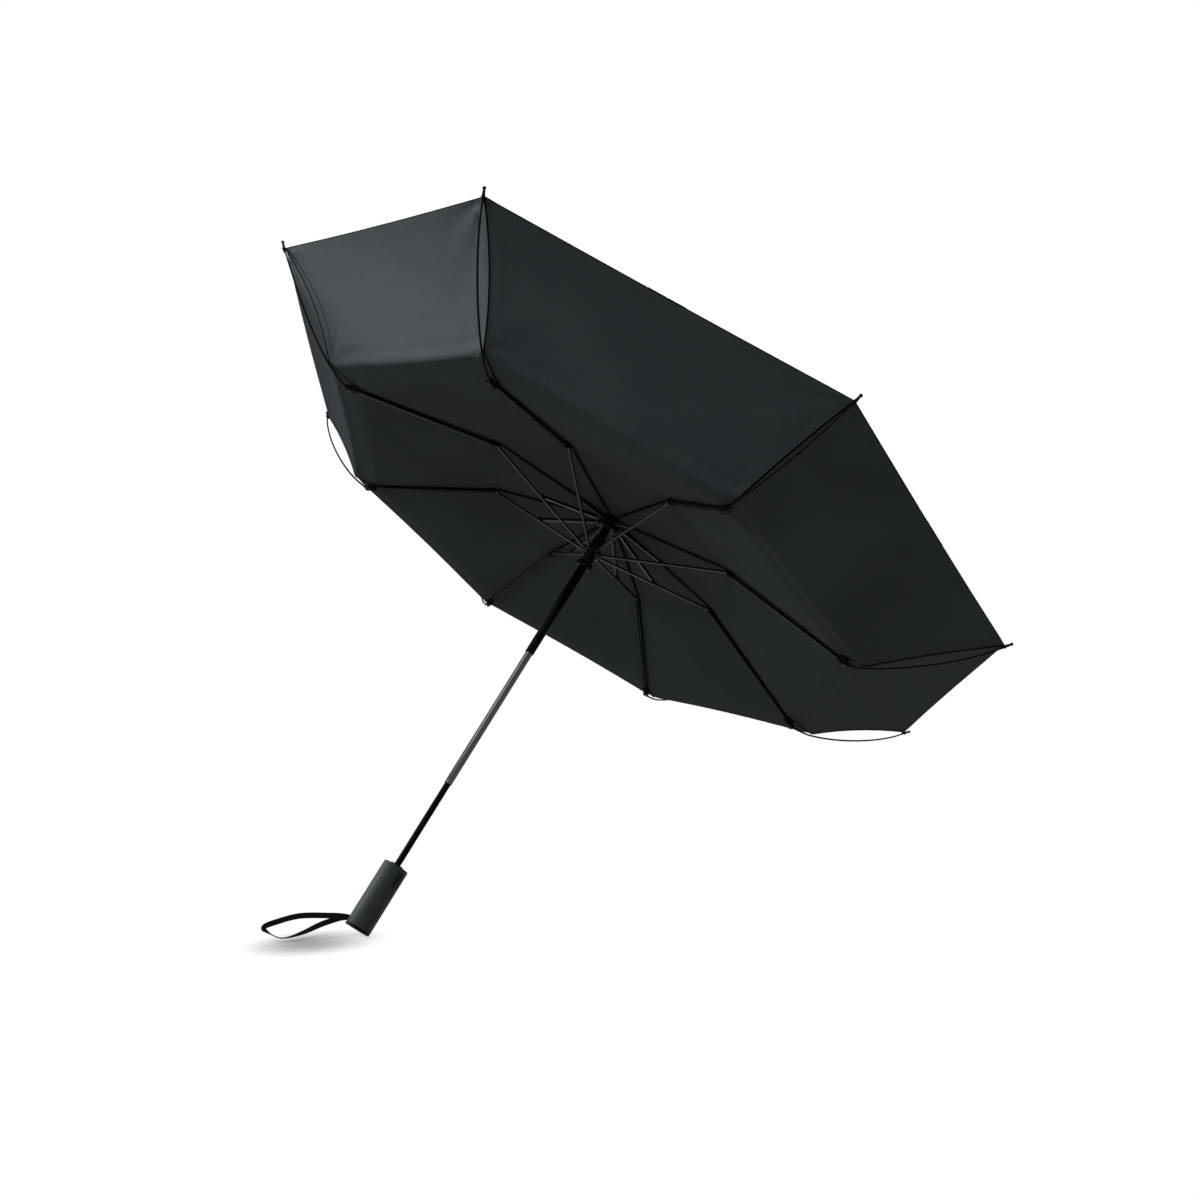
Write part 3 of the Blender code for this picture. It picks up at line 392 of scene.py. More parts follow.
def make_scuff_group():
    """Fine rubbed streaks: noise stretched along one direction and cut at a level."""
    tree, given, result, calc = shader_group(
        "rubbed_streaks",
        {"Place": None, "Scale": 30.0, "Stretch": (1.0, 1.0, 0.06), "Level": 0.62},
        "Mask",
    )
    place = {0: given["Place"], 1: given["Stretch"]}
    stretch = add_node(tree, "VectorMath", place, operation="MULTIPLY")
    streaks = {"Scale": given["Scale"], "Detail": 6.0, "Roughness": 0.7}
    noise = add_node(tree, "TexNoise", {"Vector": stretch.outputs[0], **streaks})
    above = calc("SUBTRACT", noise.outputs[0], given["Level"])
    clamp = add_node(tree, "Clamp", {"Value": calc("MULTIPLY", above, 9.0)})
    tree.links.new(clamp.outputs[0], result["Mask"])
    return tree


def make_stitch_group():
    """Row of stitches: a narrow band at an offset from a line, cut into dashes."""
    tree, given, result, calc = shader_group(
        "stitch_row",
        {"Distance": 0.0, "Along": 0.0, "Offset": 0.003, "Half width": 0.0003, "Pitch": 0.0032},
        "Mask",
    )
    offset = calc("SUBTRACT", given["Distance"], given["Offset"])
    band = calc("LESS_THAN", calc("ABSOLUTE", offset), given["Half width"])
    phase = calc("FRACT", calc("DIVIDE", given["Along"], given["Pitch"]))
    dash = calc("LESS_THAN", phase, 0.72)
    tree.links.new(calc("MULTIPLY", band, dash), result["Mask"])
    return tree


WEAVE = make_weave_group()
MOTTLE = make_mottle_group()
GRAIN = make_grain_group()
SCUFFS = make_scuff_group()
STITCHES = make_stitch_group()


class Finish:
    """One material with a Principled shader and short ways to add to it."""

    def __init__(self, name, colour, roughness, metallic=0.0, specular=0.5):
        self.material = bpy.data.materials.new(name)
        self.material.use_nodes = True
        self.tree = self.material.node_tree
        self.sockets = self.tree.nodes["Principled BSDF"].inputs
        self.set("Base Color", (*colour, 1))
        self.set("Roughness", roughness)
        self.set("Metallic", metallic)
        self.set("Specular IOR Level", specular)
        self.coords = self.tree.nodes.new("ShaderNodeTexCoord").outputs

    def set(self, socket, value):
        """A plain value for one of the shader's inputs."""
        self.sockets[socket].default_value = value

    def value_of(self, attribute):
        """One of the mesh's own attributes."""
        return add_node(self.tree, "Attribute", attribute_name=attribute).outputs["Fac"]

    def use(self, group, place=None, **values):
        """Output of a shared group, placed by Object or UV coordinates."""
        inputs = {label.replace("_", " "): value for label, value in values.items()}
        if place is not None:
            inputs["Place"] = self.coords[place]
        outputs = add_node(self.tree, "Group", inputs, node_tree=group).outputs
        return outputs[0] if len(outputs) == 1 else outputs

    def cloud(self, scale):
        """Soft mottle from 0 to 1."""
        return self.use(MOTTLE, "Object", Scale=scale, Low=0.0, High=1.0)

    def calc(self, operation, *values):
        """A Math node in this material."""
        return math_node(self.tree, operation, *values)

    def tint(self, factor, low, high):
        """Base colour between two colours by a mask or level."""
        low, high = ((*c, 1) if isinstance(c, tuple) else c for c in (low, high))
        mix = add_node(self.tree, "Mix", {"Factor": factor, 6: low, 7: high}, data_type="RGBA")
        self.tree.links.new(mix.outputs[2], self.sockets["Base Color"])
        return mix.outputs[2]

    def rough(self, level, low, high):
        """Roughness between two values by a level from 0 to 1."""
        spread = add_node(self.tree, "MapRange", {"Value": level, "To Min": low, "To Max": high})
        self.tree.links.new(spread.outputs[0], self.sockets["Roughness"])

    def bump(self, height, distance, strength):
        """Bump on top of any that is there already."""
        inputs = {"Distance": distance, "Strength": strength, "Height": height}
        normal = self.sockets["Normal"]
        if normal.is_linked:
            inputs["Normal"] = normal.links[0].from_socket
        self.tree.links.new(add_node(self.tree, "Bump", inputs).outputs[0], normal)


def pongee_finish():
    """Satin charcoal pongee: fine weave, dark taped seams whose darkness is partly painted shade
    of the seam folds, a painted highlight beside each seam, twin seam rows and a hem row.
    """
    cloth = Finish("charcoal_pongee", (0.042, 0.047, 0.050), 0.56, specular=0.0)
    weave = cloth.use(WEAVE, "UV", Threads_per_metre=3600.0, Unevenness=0.35)
    base = cloth.tint(cloth.cloud(9.0), (0.037, 0.043, 0.047), (0.046, 0.053, 0.057))
    seam, hem = (
        cloth.use(
            STITCHES,
            Distance=cloth.value_of(line),
            Along=cloth.value_of(along),
            Offset=offset,
            Half_width=0.00022,
            Pitch=0.0030,
        )
        for line, along, offset in (("from_seam", "run", 0.0033), ("from_hem", "across", 0.0070))
    )
    rows = cloth.calc("MAXIMUM", seam, hem)
    from_tape = cloth.value_of("from_tape")
    # Dark band along each seam: the seam tape's own colour, widened and darkened as painted shade
    # of the seam's folds
    tape_and_fold_shade = cloth.calc("LESS_THAN", from_tape, 0.0)
    # Painted highlight: a thin lighter strip just beside the dark seam band, standing in for
    # light on the cloth's pucker at the stitching
    pucker_highlight = cloth.calc("SUBTRACT", cloth.calc("LESS_THAN", from_tape, 0.0007), tape_and_fold_shade)
    edge = cloth.calc("LESS_THAN", cloth.value_of("from_hem"), 0.0010)
    faint_rows = cloth.calc("MULTIPLY", rows, 0.35)
    # Dark colour over the seam band, the hem's edge and the stitch rows; on the seam band it is
    # partly painted shade
    dark = cloth.calc("MAXIMUM", cloth.calc("MAXIMUM", tape_and_fold_shade, edge), faint_rows)
    # Lighter colour on that strip is a painted highlight, not wear
    wear_and_highlight = cloth.tint(cloth.calc("MULTIPLY", pucker_highlight, 0.6), base, (0.075, 0.083, 0.088))
    cloth.tint(dark, wear_and_highlight, (0.004, 0.0045, 0.005))
    cloth.bump(weave["Height"], 0.00005, 0.6)
    cloth.bump(cloth.calc("SUBTRACT", 1.0, rows), 0.00012, 0.7)
    cloth.rough(weave["Shade"], 0.50, 0.62)
    cloth.set("Sheen Weight", 0.05)
    cloth.set("Sheen Roughness", 0.45)
    cloth.set("Sheen Tint", (0.8, 0.86, 0.9, 1))
    return cloth.material


def handle_finish():
    """Soft-touch rubbery plastic with a faint cloud and a fine grain."""
    grip = Finish("soft_touch_handle", (0.040, 0.045, 0.048), 0.50, specular=0.05)
    cloud = grip.cloud(55.0)
    grip.tint(cloud, (0.027, 0.031, 0.0335), (0.033, 0.0375, 0.040))
    grip.bump(grip.use(GRAIN, "Object", Scale=2600.0), 0.00005, 0.5)
    grip.rough(cloud, 0.44, 0.56)
    return grip.material


def moulded_finish(name, colour, rough_low, rough_high, specular):
    """Hard moulded plastic with a fine spark-eroded grain and light rubbing."""
    plastic = Finish(name, colour, rough_low, specular=specular)
    wear_and_highlight = tuple(c * 1.6 + 0.0008 for c in colour)
    plastic.tint(plastic.use(SCUFFS, "Object", Scale=90.0, Level=0.60), colour, wear_and_highlight)
    plastic.bump(plastic.use(GRAIN, "Object", Scale=3200.0), 0.00003, 0.5)
    plastic.rough(plastic.cloud(120.0), rough_low, rough_high)
    return plastic.material


def steel_finish(name, colour, metallic, rough_low, rough_high, specular, level):
    """Lacquered or plated steel with lengthwise drawing marks and rubbed streaks."""
    steel = Finish(name, colour, rough_low, metallic=metallic, specular=specular)
    marks = steel.use(SCUFFS, "Object", Scale=900.0, Stretch=(1.0, 1.0, 0.02), Level=0.5)
    rubbed = steel.use(SCUFFS, "Object", Scale=60.0, Stretch=(1.0, 1.0, 0.1), Level=level)
    steel.tint(rubbed, colour, tuple(min(1.0, c * 1.7 + 0.0015) for c in colour))
    steel.bump(marks, 0.00001, 0.4)
    steel.rough(steel.cloud(70.0), rough_low, rough_high)
    return steel.material


def webbing_finish():
    """Tight ribbed webbing: coarse weave over its own length and width."""
    band = Finish("strap_webbing_black", (0.003, 0.0035, 0.004), 0.75, specular=0.02)
    weave = band.use(WEAVE, "UV", Threads_per_metre=1500.0, Unevenness=0.5)
    band.tint(weave["Shade"], (0.002, 0.0022, 0.0026), (0.005, 0.0055, 0.006))
    band.bump(weave["Height"], 0.00018, 0.8)
    band.set("Sheen Weight", 0.02)
    return band.material


def floor_finish():
    """Grey floor disc that fades out at its rim: a painted soft shadow under the handle and
    strap, which also takes their real shadows.
    """
    # Grey well below white, so that the lit disc shows as painted shadow against the white
    # background
    floor = Finish("pale_floor", (0.46, 0.47, 0.47), 0.9, specular=0.0)
    floor.bump(floor.use(GRAIN, "Object", Scale=600.0), 0.00002, 0.2)
    floor.tree.links.new(floor.value_of("solid_share"), floor.sockets["Alpha"])
    return floor.material


PONGEE = pongee_finish()
HANDLE = handle_finish()
CAP = moulded_finish("handle_cap_black", (0.004, 0.0045, 0.006), 0.45, 0.60, 0.03)
BUTTON = moulded_finish("button_plastic", (0.013, 0.0155, 0.017), 0.42, 0.55, 0.04)
HUB = moulded_finish("runner_crown_plastic", (0.005, 0.006, 0.007), 0.38, 0.55, 0.05)
KNUCKLE = moulded_finish("knuckle_plastic", (0.004, 0.0045, 0.005), 0.30, 0.45, 0.06)
TIP = moulded_finish("rib_tip_plastic", (0.003, 0.003, 0.0035), 0.40, 0.55, 0.03)
RIB_STEEL = steel_finish("black_rib_steel", (0.003, 0.0035, 0.005), 0.0, 0.24, 0.36, 0.16, 0.66)
RIVET_STEEL = steel_finish("rivet_steel", (0.020, 0.021, 0.023), 0.9, 0.35, 0.5, 0.5, 0.60)
BLACK_TUBE = steel_finish(
    "black_shaft_lacquer", (0.0012, 0.0014, 0.0022), 0.0, 0.26, 0.38, 0.02, 0.70
)
GREY_TUBE = steel_finish("grey_shaft_plating", (0.050, 0.051, 0.053), 0.9, 0.22, 0.32, 0.5, 0.66)
ROD_FIBRE = steel_finish("rod_fibre_black", (0.003, 0.003, 0.0035), 0.0, 0.40, 0.55, 0.03, 0.68)
WEBBING = webbing_finish()
THREAD = moulded_finish("tie_thread", (0.005, 0.005, 0.006), 0.70, 0.85, 0.03)


# Canopy


LINE_PACE = 0.0005
LINE_PAD = 0.05
TIGHT_CORNER, SOFT_CORNER = 0.0018, 0.0042


def smoothed_line(width):
    """Cloth's line over a rib with its corners rounded over a width.

    The station line is walked at an even pace, then averaged with a bell-shaped weight,
    its ends carried on straight so that the hole and the corner stay in place.
    """
    stops = lengths_along(SEAM_LINE)
    count = int(stops[-1] / LINE_PACE)
    pad = int(LINE_PAD / LINE_PACE)
    run = np.linspace(0, stops[-1], count)
    line = walked(SEAM_LINE, stops, run)
    before = line[0] - (line[1] - line[0]) * np.arange(pad, 0, -1)[:, None]
    after = line[-1] + (line[-1] - line[-2]) * np.arange(1, pad + 1)[:, None]
    padded = np.concatenate([before, line, after])
    span = np.arange(-pad, pad + 1) * (stops[-1] / (count - 1))
    weight = np.exp(-0.5 * (span / width) ** 2)
    weight /= weight.sum()
    smooth = np.stack([np.convolve(padded[:, k], weight, mode="valid") for k in (0, 1)], axis=1)
    return run, smooth


RUN, TIGHT_LINE = smoothed_line(TIGHT_CORNER)
SOFT_LINE = smoothed_line(SOFT_CORNER)[1]
WHOLE_RUN = RUN[-1]
CROSSING_RUN, ELBOW_RUN, HINGE_RUN, CREASE_RUN = (
    float(np.interp(radius, TIGHT_LINE[:, 0], RUN))
    for radius in (CROSSING_RADIUS, ELBOW_RADIUS, HINGE_RADIUS, INNER_STATIONS[-1, 0])
)
HALF_CHORD_SHARE = math.sin(STEP / 2)
# Half widths of the dark band along each seam by run: seam tape, its darkness partly painted
# shade of the seam's folds
TAPE_AND_SHADE_RUNS = (0.0, 0.03, ELBOW_RUN, HINGE_RUN, CREASE_RUN, WHOLE_RUN)
TAPE_AND_SHADE_HALF_WIDTHS = (0.0012, 0.0018, 0.0020, 0.0019, 0.0013, 0.0012)
FELL_RUNS = (0.0, 0.03, 0.10, ELBOW_RUN - 0.010, ELBOW_RUN + 0.015, *TAPE_AND_SHADE_RUNS[3:])
FELL_DEPTHS = (0.0005, 0.0034, 0.0032, 0.0022, 0.0010, 0.0007, 0.0009, 0.0012)
END_MARGIN = 0.0005
SLOPE_STEP = 0.0004
LONG_SLOPE_STEP = 0.002
NORMAL_STEP = 0.0006
FAN_CORE = 0.010
CALM_AT_SEAM = 0.007
CALM_AT_HOLE = (0.03, 0.08)
# Fans of wrinkles: run of their centre, height, waves and reach
FANS = (
    (WHOLE_RUN, 0.0011, 10.0, 0.050),
    (CREASE_RUN, 0.0010, 7.0, 0.034),
    (ELBOW_RUN, 0.0006, 6.0, 0.030),
)


def line_at(table, run):
    """Radius and height of a line at a run, carried on straight past its ends."""
    held = np.clip(run, RUN[0] + END_MARGIN, RUN[-1] - END_MARGIN)
    out = []
    for values in table.T:
        ahead = np.interp(held + SLOPE_STEP, RUN, values)
        behind = np.interp(held - SLOPE_STEP, RUN, values)
        value = np.interp(held, RUN, values)
        out.append(value + (run - held) * (ahead - behind) / (2 * SLOPE_STEP))
    return out


def fan(distance, angle, waves, phase, reach):
    """Tension wrinkles that spread from one point and die away with distance."""
    rise = 1 - np.exp(-((distance / FAN_CORE) ** 2))
    return np.sin(waves * angle + phase) * np.exp(-distance / reach) * rise


def wind_pull(rib, crease_share, corner_share):
    """Shift in the frame: the crease's drift faded in, then over to the corner's."""
    rib = (rib - 1) % 8 + 1
    near = eased(crease_share, 0, 1)[..., None]
    far = np.clip(corner_share, 0, 1)[..., None]
    crease = np.array(CREASE_DRIFT.get(rib, (0, 0, 0)))
    corner = np.array(CORNER_DRIFT.get(rib, (0, 0, 0)))
    drift = crease * near * (1 - far) + corner * far**1.3
    return drift @ np.stack([*rib_axes(rib), (0, 0, 1)])


def rib_point(rib, run, softness):
    """Place on the cloth over a rib, with the wind's pull on its crease and corner."""
    tight = line_at(TIGHT_LINE, run)
    soft = line_at(SOFT_LINE, run)
    radius = tight[0] + (soft[0] - tight[0]) * softness
    height = tight[1] + (soft[1] - tight[1]) * softness
    crease_share = (run - HINGE_RUN) / (CREASE_RUN - HINGE_RUN)
    corner_share = np.clip((run - CREASE_RUN) / (WHOLE_RUN - CREASE_RUN), 0, 1)
    ease = BOW_EASE.get((rib - 1) % 8 + 1, 0) * 4 * corner_share * (1 - corner_share)
    radius = radius - ease * CHORD_NORMAL[0]
    height = height - ease * CHORD_NORMAL[1]
    points = in_plane(rib, np.stack([radius, height], axis=-1))
    return points + wind_pull(rib, crease_share, corner_share), radius


def cloth_point(gore, share, run):
    """Place on the cloth of one gore. share goes from 0 at its rib to 1 at the next.

    The chord between the two ribs at that run, pulled in towards the shaft by the dip
    times sin(pi * share), then raised along the gore's normal by fans of wrinkles that
    spread from the corners, the creases and the elbows. Along the crease a bell-shaped
    roll stands beside a bell-shaped tuck, both strongest near the hinges.
    """
    softness = np.sin(math.pi * np.clip(share, 0, 1)) ** 0.6
    first, radius = rib_point(gore, run, softness)
    second, _ = rib_point(gore + 1, run, softness)
    point = first + (second - first) * share[..., None]
    turn = PHASE + (gore - 0.5) * STEP
    bisector = np.array((math.cos(turn), math.sin(turn), 0.0))
    dip = np.interp(
        run,
        [SEAM_LINE[1, 0], ELBOW_RUN, CREASE_RUN, WHOLE_RUN],
        [0.0, CREASE_DIP / 3, CREASE_DIP, HEM_DIPS[(gore - 1) % 8]],
    )
    point = point - (dip * np.sin(math.pi * share))[..., None] * bisector
    ahead = line_at(SOFT_LINE, run + LONG_SLOPE_STEP)
    behind = line_at(SOFT_LINE, run - LONG_SLOPE_STEP)
    slope = unit(np.stack([ahead[0] - behind[0], ahead[1] - behind[1]], axis=-1))
    normal = -slope[..., 1:] * bisector
    normal[..., 2] += slope[..., 0]
    half = radius * HALF_CHORD_SHARE
    across = (share - 0.5) * 2 * half
    lift = np.zeros_like(run)
    for side in (-1, 1):
        seed = gore * 1.7 + side * 0.9
        for centre, size, waves, reach in FANS:
            centre_half = float(line_at(TIGHT_LINE, np.array(centre))[0]) * HALF_CHORD_SHARE
            sideways = centre_half - side * across
            endways = run - centre
            distance = np.hypot(sideways, endways)
            angle = np.arctan2(endways, np.abs(sideways) + 0.0004)
            lift = lift + size * fan(distance, angle, waves, seed * 1.3 + centre * 9, reach)
    crease_half = HINGE_RADIUS * HALF_CHORD_SHARE
    from_hinge = (crease_half - np.abs(across)) / ROLL_REACH
    nearness = 0.45 + 0.55 * np.exp(-(from_hinge**2))
    roll = np.exp(-(((run - CREASE_RUN - ROLL_PLACE) / ROLL_WIDTH) ** 2))
    tuck = np.exp(-(((run - CREASE_RUN - TUCK_PLACE) / TUCK_WIDTH) ** 2))
    lift = lift + CREASE_ROLL * nearness * (roll - tuck)
    from_seam = half - np.abs(across)
    near_hole = np.interp(run, CALM_AT_HOLE, (0, 1))
    near_seam = np.exp(-((np.clip(from_seam, 0, None) / CALM_AT_SEAM) ** 2))
    lift = lift * (1 - near_seam) * near_hole
    return point + lift[..., None] * normal, across, from_seam


RIDGE_HALF_WIDTH = 0.0009
FOLD_WIDTH, FOLD_DEPTH = 0.0034, 0.00018
HEM_DEPTH = 0.00022
EDGE_SOFTNESS = 0.0003


def soft_below(value, edge):
    """One where a value is below an edge and nought above, with a soft change between."""
    return 0.5 - 0.5 * np.tanh((value - edge) / EDGE_SOFTNESS)


def seam_rise(from_seam, from_hem, run):
    """Extra thickness on the lower face: a hanging felled seam and a turned hem."""
    profile = np.exp(-((from_seam / RIDGE_HALF_WIDTH) ** 4))
    fold = FOLD_DEPTH * soft_below(from_seam, FOLD_WIDTH)
    hem = HEM_DEPTH * soft_below(from_hem, HEM_BAND)
    return np.interp(run, FELL_RUNS, FELL_DEPTHS) * profile + np.maximum(fold, hem)


NEAR_SEAM = np.array([0, 0.0006, 0.0013, 0.0020, 0.0030, 0.0040])
FAR_COLUMNS = 13


def column_shares(half):
    """Shares of the gore at which columns stand: close together beside the seam."""
    near = NEAR_SEAM[None, :] * np.minimum(1, half[:, None] / 0.012)
    last = near[:, -1:]
    steps = np.linspace(0, 1, FAR_COLUMNS + 1)[1:] ** 1.15
    far = last + (half[:, None] - last) * steps[None, :]
    return np.concatenate([near, far], axis=1) / (2 * half[:, None])


def cloth_grid(runs, zone):
    """Signed shares, runs, half widths and distances into a lap, over a piece's grid.

    Rows are runs from the crown outwards and columns are shares of the two gores beside
    the rib. An outer zone starts further out towards mid-gore and runs on past it. A
    crease zone has more rows from the hinge to the outer cloth, and on behind it.
    """
    half = line_at(TIGHT_LINE, runs)[0] * HALF_CHORD_SHARE
    shares = column_shares(half)
    if zone == "outer":
        laps = np.array([LAP_STEP, SIDE_LAP / 2, SIDE_LAP])
        shares = np.concatenate([shares, 0.5 + laps[None, :] / (2 * half[:, None])], axis=1)
    signed = np.concatenate([-shares[:, :0:-1], shares], axis=1)
    run = np.repeat(runs[:, None], signed.shape[1], axis=1)
    spread = 2 * np.abs(signed)
    lapped = np.clip(spread - 1, 0, None) * half[:, None]
    if zone == "outer":
        fade = np.clip(1 - (run - runs[0]) / LAP_FADE, 0, 1)
        run = run + LAP_START * np.minimum(spread, LAP_SPREAD_CAP) * fade
    if zone == "crease":
        butt = LAP_START * spread
        end = LAP_AT_RIB + LAP_END * spread
        parts = [butt / 2, butt, butt + LAP_STEP]
        parts += [butt + LAP_STEP + (end - butt - LAP_STEP) * k / 3 for k in (1, 2, 3)]
        gaps = np.arange(len(parts))[:, None] * LAP_ROW_GAP
        beyond = np.maximum.accumulate(np.concatenate(parts) + gaps, axis=0)
        run = np.concatenate([run, runs + beyond])
        signed = np.repeat(signed, len(run), axis=0)
        lapped = np.concatenate([lapped, np.clip(beyond - butt, 0, None)])
        half = np.repeat(half, len(run))
    return signed, run, half, lapped


def cloth_piece(rib, label, body, runs):
    """Part of the canopy from mid-gore to mid-gore over one rib, as a closed thin shell.

    Both faces stand half the thickness off the middle surface along its normal, and laps
    stand a little further out. Gives the piece, its flat size and its area.
    """
    signed, run, half, lapped = cloth_grid(runs, label)

    def middle(signed_share, at_run):
        right = cloth_point(rib, np.clip(signed_share, 0, 1), at_run)
        left = cloth_point(rib - 1, np.clip(1 + signed_share, 0, 1), at_run)
        is_right = signed_share >= 0
        picks = (is_right[..., None], is_right, is_right)
        return [np.where(*sides) for sides in zip(picks, right, left)]

    step_share = NORMAL_STEP / np.maximum(half, 0.002)[:, None]
    place, across, from_seam = middle(signed, run)
    tangent = middle(signed + step_share, run)[0] - middle(signed - step_share, run)[0]
    lengthwise = middle(signed, run + NORMAL_STEP)[0] - middle(signed, run - NORMAL_STEP)[0]
    normal = unit(np.cross(lengthwise, tangent))
    from_hem = WHOLE_RUN - run
    rise = seam_rise(np.abs(from_seam), from_hem, run) * (lapped < LAP_STEP / 2)
    place = place + normal * (LAP_LIFT * np.clip(lapped / LAP_STEP, 0, 1))[..., None]
    upper = place + normal * (CLOTH_THICKNESS / 2)
    lower = place - normal * (CLOTH_THICKNESS / 2 + rise)[..., None]
    rows, columns = run.shape
    top_faces = grid_faces(rows, columns)
    low_faces = top_faces[:, ::-1] + rows * columns
    index = np.arange(rows * columns).reshape(rows, columns)
    rim = np.concatenate([index[0], index[1:, -1], index[-1, -2::-1], index[-2:0:-1, 0]])
    after = np.roll(rim, -1)
    walls = np.stack([rim, rim + rows * columns, after + rows * columns, after], axis=1)
    points = np.concatenate([upper.reshape(-1, 3), lower.reshape(-1, 3)])
    first, second, _, last = points[top_faces[0]]
    faces = np.concatenate([top_faces, low_faces, walls])
    if np.cross(second - first, last - first) @ normal[0, 0] < 0:
        faces = faces[:, ::-1]
    piece = new_piece(
        f"{label}_cloth_{rib}", (points, faces), PONGEE, f"{body}_{rib}"
    )
    mesh = piece.data
    shading = np.concatenate([normal.reshape(-1, 3), -normal.reshape(-1, 3)])
    mesh.normals_split_custom_set_from_vertices(shading.tolist())
    for name, values in (
        ("from_seam", np.abs(from_seam)),
        ("from_tape", np.abs(from_seam) - np.interp(run, TAPE_AND_SHADE_RUNS, TAPE_AND_SHADE_HALF_WIDTHS)),
        ("from_hem", from_hem),
        ("run", run),
        ("across", across),
    ):
        set_values(mesh, name, np.tile(values.ravel(), 2))
    flat = np.stack([across.ravel(), run.ravel()], axis=1)
    set_uv(mesh, "cloth", np.tile(flat, (2, 1)))
    flat_width = 2 * float(half.max()) + (2 * SIDE_LAP if label == "outer" else 0.0)
    flat_length = float(run.max() - run.min())
    quads = place.reshape(-1, 3)[top_faces]
    crossed = np.cross(quads[:, 2] - quads[:, 0], quads[:, 3] - quads[:, 1])
    area = float((np.linalg.norm(crossed, axis=1) / 2).sum())
    return piece, (flat_width, flat_length), min(area, flat_width * flat_length)


# Stretches with close rows beyond elbow and crease, and the rows' distances from the hem
ELBOW_SPAN, CREASE_SPAN = 0.016, 0.020
HEM_ROWS = (0.012, 0.0090, 0.0085, 0.0080, 0.0040, 0.0)


def make_canopy():
    """Whole canopy: five parts over each rib, each riding on the rib piece below it.

    The cloth between the crown and the elbow is slack when the umbrella is shut, so it is
    parted over the pivot at which the top rib crosses the stretcher.
    """
    elbow_end = ELBOW_RUN + ELBOW_SPAN
    crease_end = CREASE_RUN + CREASE_SPAN
    hem_rows = WHOLE_RUN - np.array(HEM_ROWS)
    elbow_rows = np.linspace(ELBOW_RUN, elbow_end, 7)[:-1]
    middle_rows = np.concatenate([elbow_rows, np.linspace(elbow_end, HINGE_RUN, 26)])
    crease_rows = np.linspace(HINGE_RUN, crease_end, 16)[:-1]
    outer_rows = np.linspace(crease_end, hem_rows[0], 22)[:-1]
    zones = (
        ("crown", "top_rib", np.linspace(0, CROSSING_RUN, 13)),
        ("elbow", "stretcher", np.linspace(CROSSING_RUN, ELBOW_RUN, 10)),
        ("middle", "mid_rib", middle_rows),
        ("crease", "knuckle", np.array([HINGE_RUN])),
        ("outer", "outer_rib", np.concatenate([crease_rows, outer_rows, hem_rows])),
    )
    for rib in RIBS:
        for label, body, runs in zones:
            piece, flat, area = cloth_piece(rib, label, body, runs)
            anchor = in_plane(rib, np.array(line_at(TIGHT_LINE, runs[0])))
            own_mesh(piece)
    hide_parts("canopy")


make_canopy()


# Outer rods

ROD_CHORD = 0.1653
ROD_CHORD_ANGLE = math.radians(31.37)
ROD_ANGLES = (math.radians(7.5), math.radians(56))
ROD_HANDLES = (0.0450, 0.0386)
TIP_ANGLE = math.radians(45)
TIP_LENGTH = 0.0083
# Rod's radii by its share, tip's radii by its run, and the eye's section
ROD_RADII = ((0, 0.08, 1), (0.0013, 0.00115, 0.00095))
TIP_RUNS = (-0.0050, -0.0044, -0.0040, 0.0, 0.0004, 0.0009, 0.0052, 0.0058)
TIP_RADII = (0.0010, 0.0015, 0.0016, 0.0016, 0.0019, 0.0016, 0.0013, 0.0013)
BEAD_RADIUS = 0.0018
BEAD_STEP = 0.0004
TIP_LOOP_RADIUS, TIP_LOOP_BACK, TIP_LOOP_THREAD = 0.0022, 0.0006, 0.00035
CREASE_SHARE = 0.17
ROD_START = 0.022
NECK_RUNS = np.array([[0.0016], [0.0040], [0.0075]])
NECK_RADII = (0.0017, 0.0014, 0.0011)
NECK_FLATNESS = 0.65
EYE_PROFILE = (
    (0.0009, -0.0011), (0.0018, -0.0011), (0.0020, -0.0008),
    (0.0020, 0.0008), (0.0018, 0.0011), (0.0009, 0.0011),
)


def heading(angle):
    """Unit step in a rib's plane at an angle above the horizontal."""
    return np.array((math.cos(angle), math.sin(angle)))


def rod_curve(flip, shares, end_angle, end_handle):
    """Cubic curve of the blown-out rod from its pivot to the cloth's corner."""
    end = flip + ROD_CHORD * heading(ROD_CHORD_ANGLE)
    one = flip + ROD_HANDLES[0] * heading(ROD_ANGLES[0])
    two = end - end_handle * heading(end_angle)
    s = shares[:, None]
    rest = 1 - s
    return flip * rest**3 + one * 3 * rest**2 * s + two * 3 * rest * s**2 + end * s**3


def joint_place(name):
    """Place of a joint as (radius, height) in its rib's plane."""
    x, y, z = JOINT_PLACES[name]["pos_m"]
    return np.array((math.hypot(x, y), z))


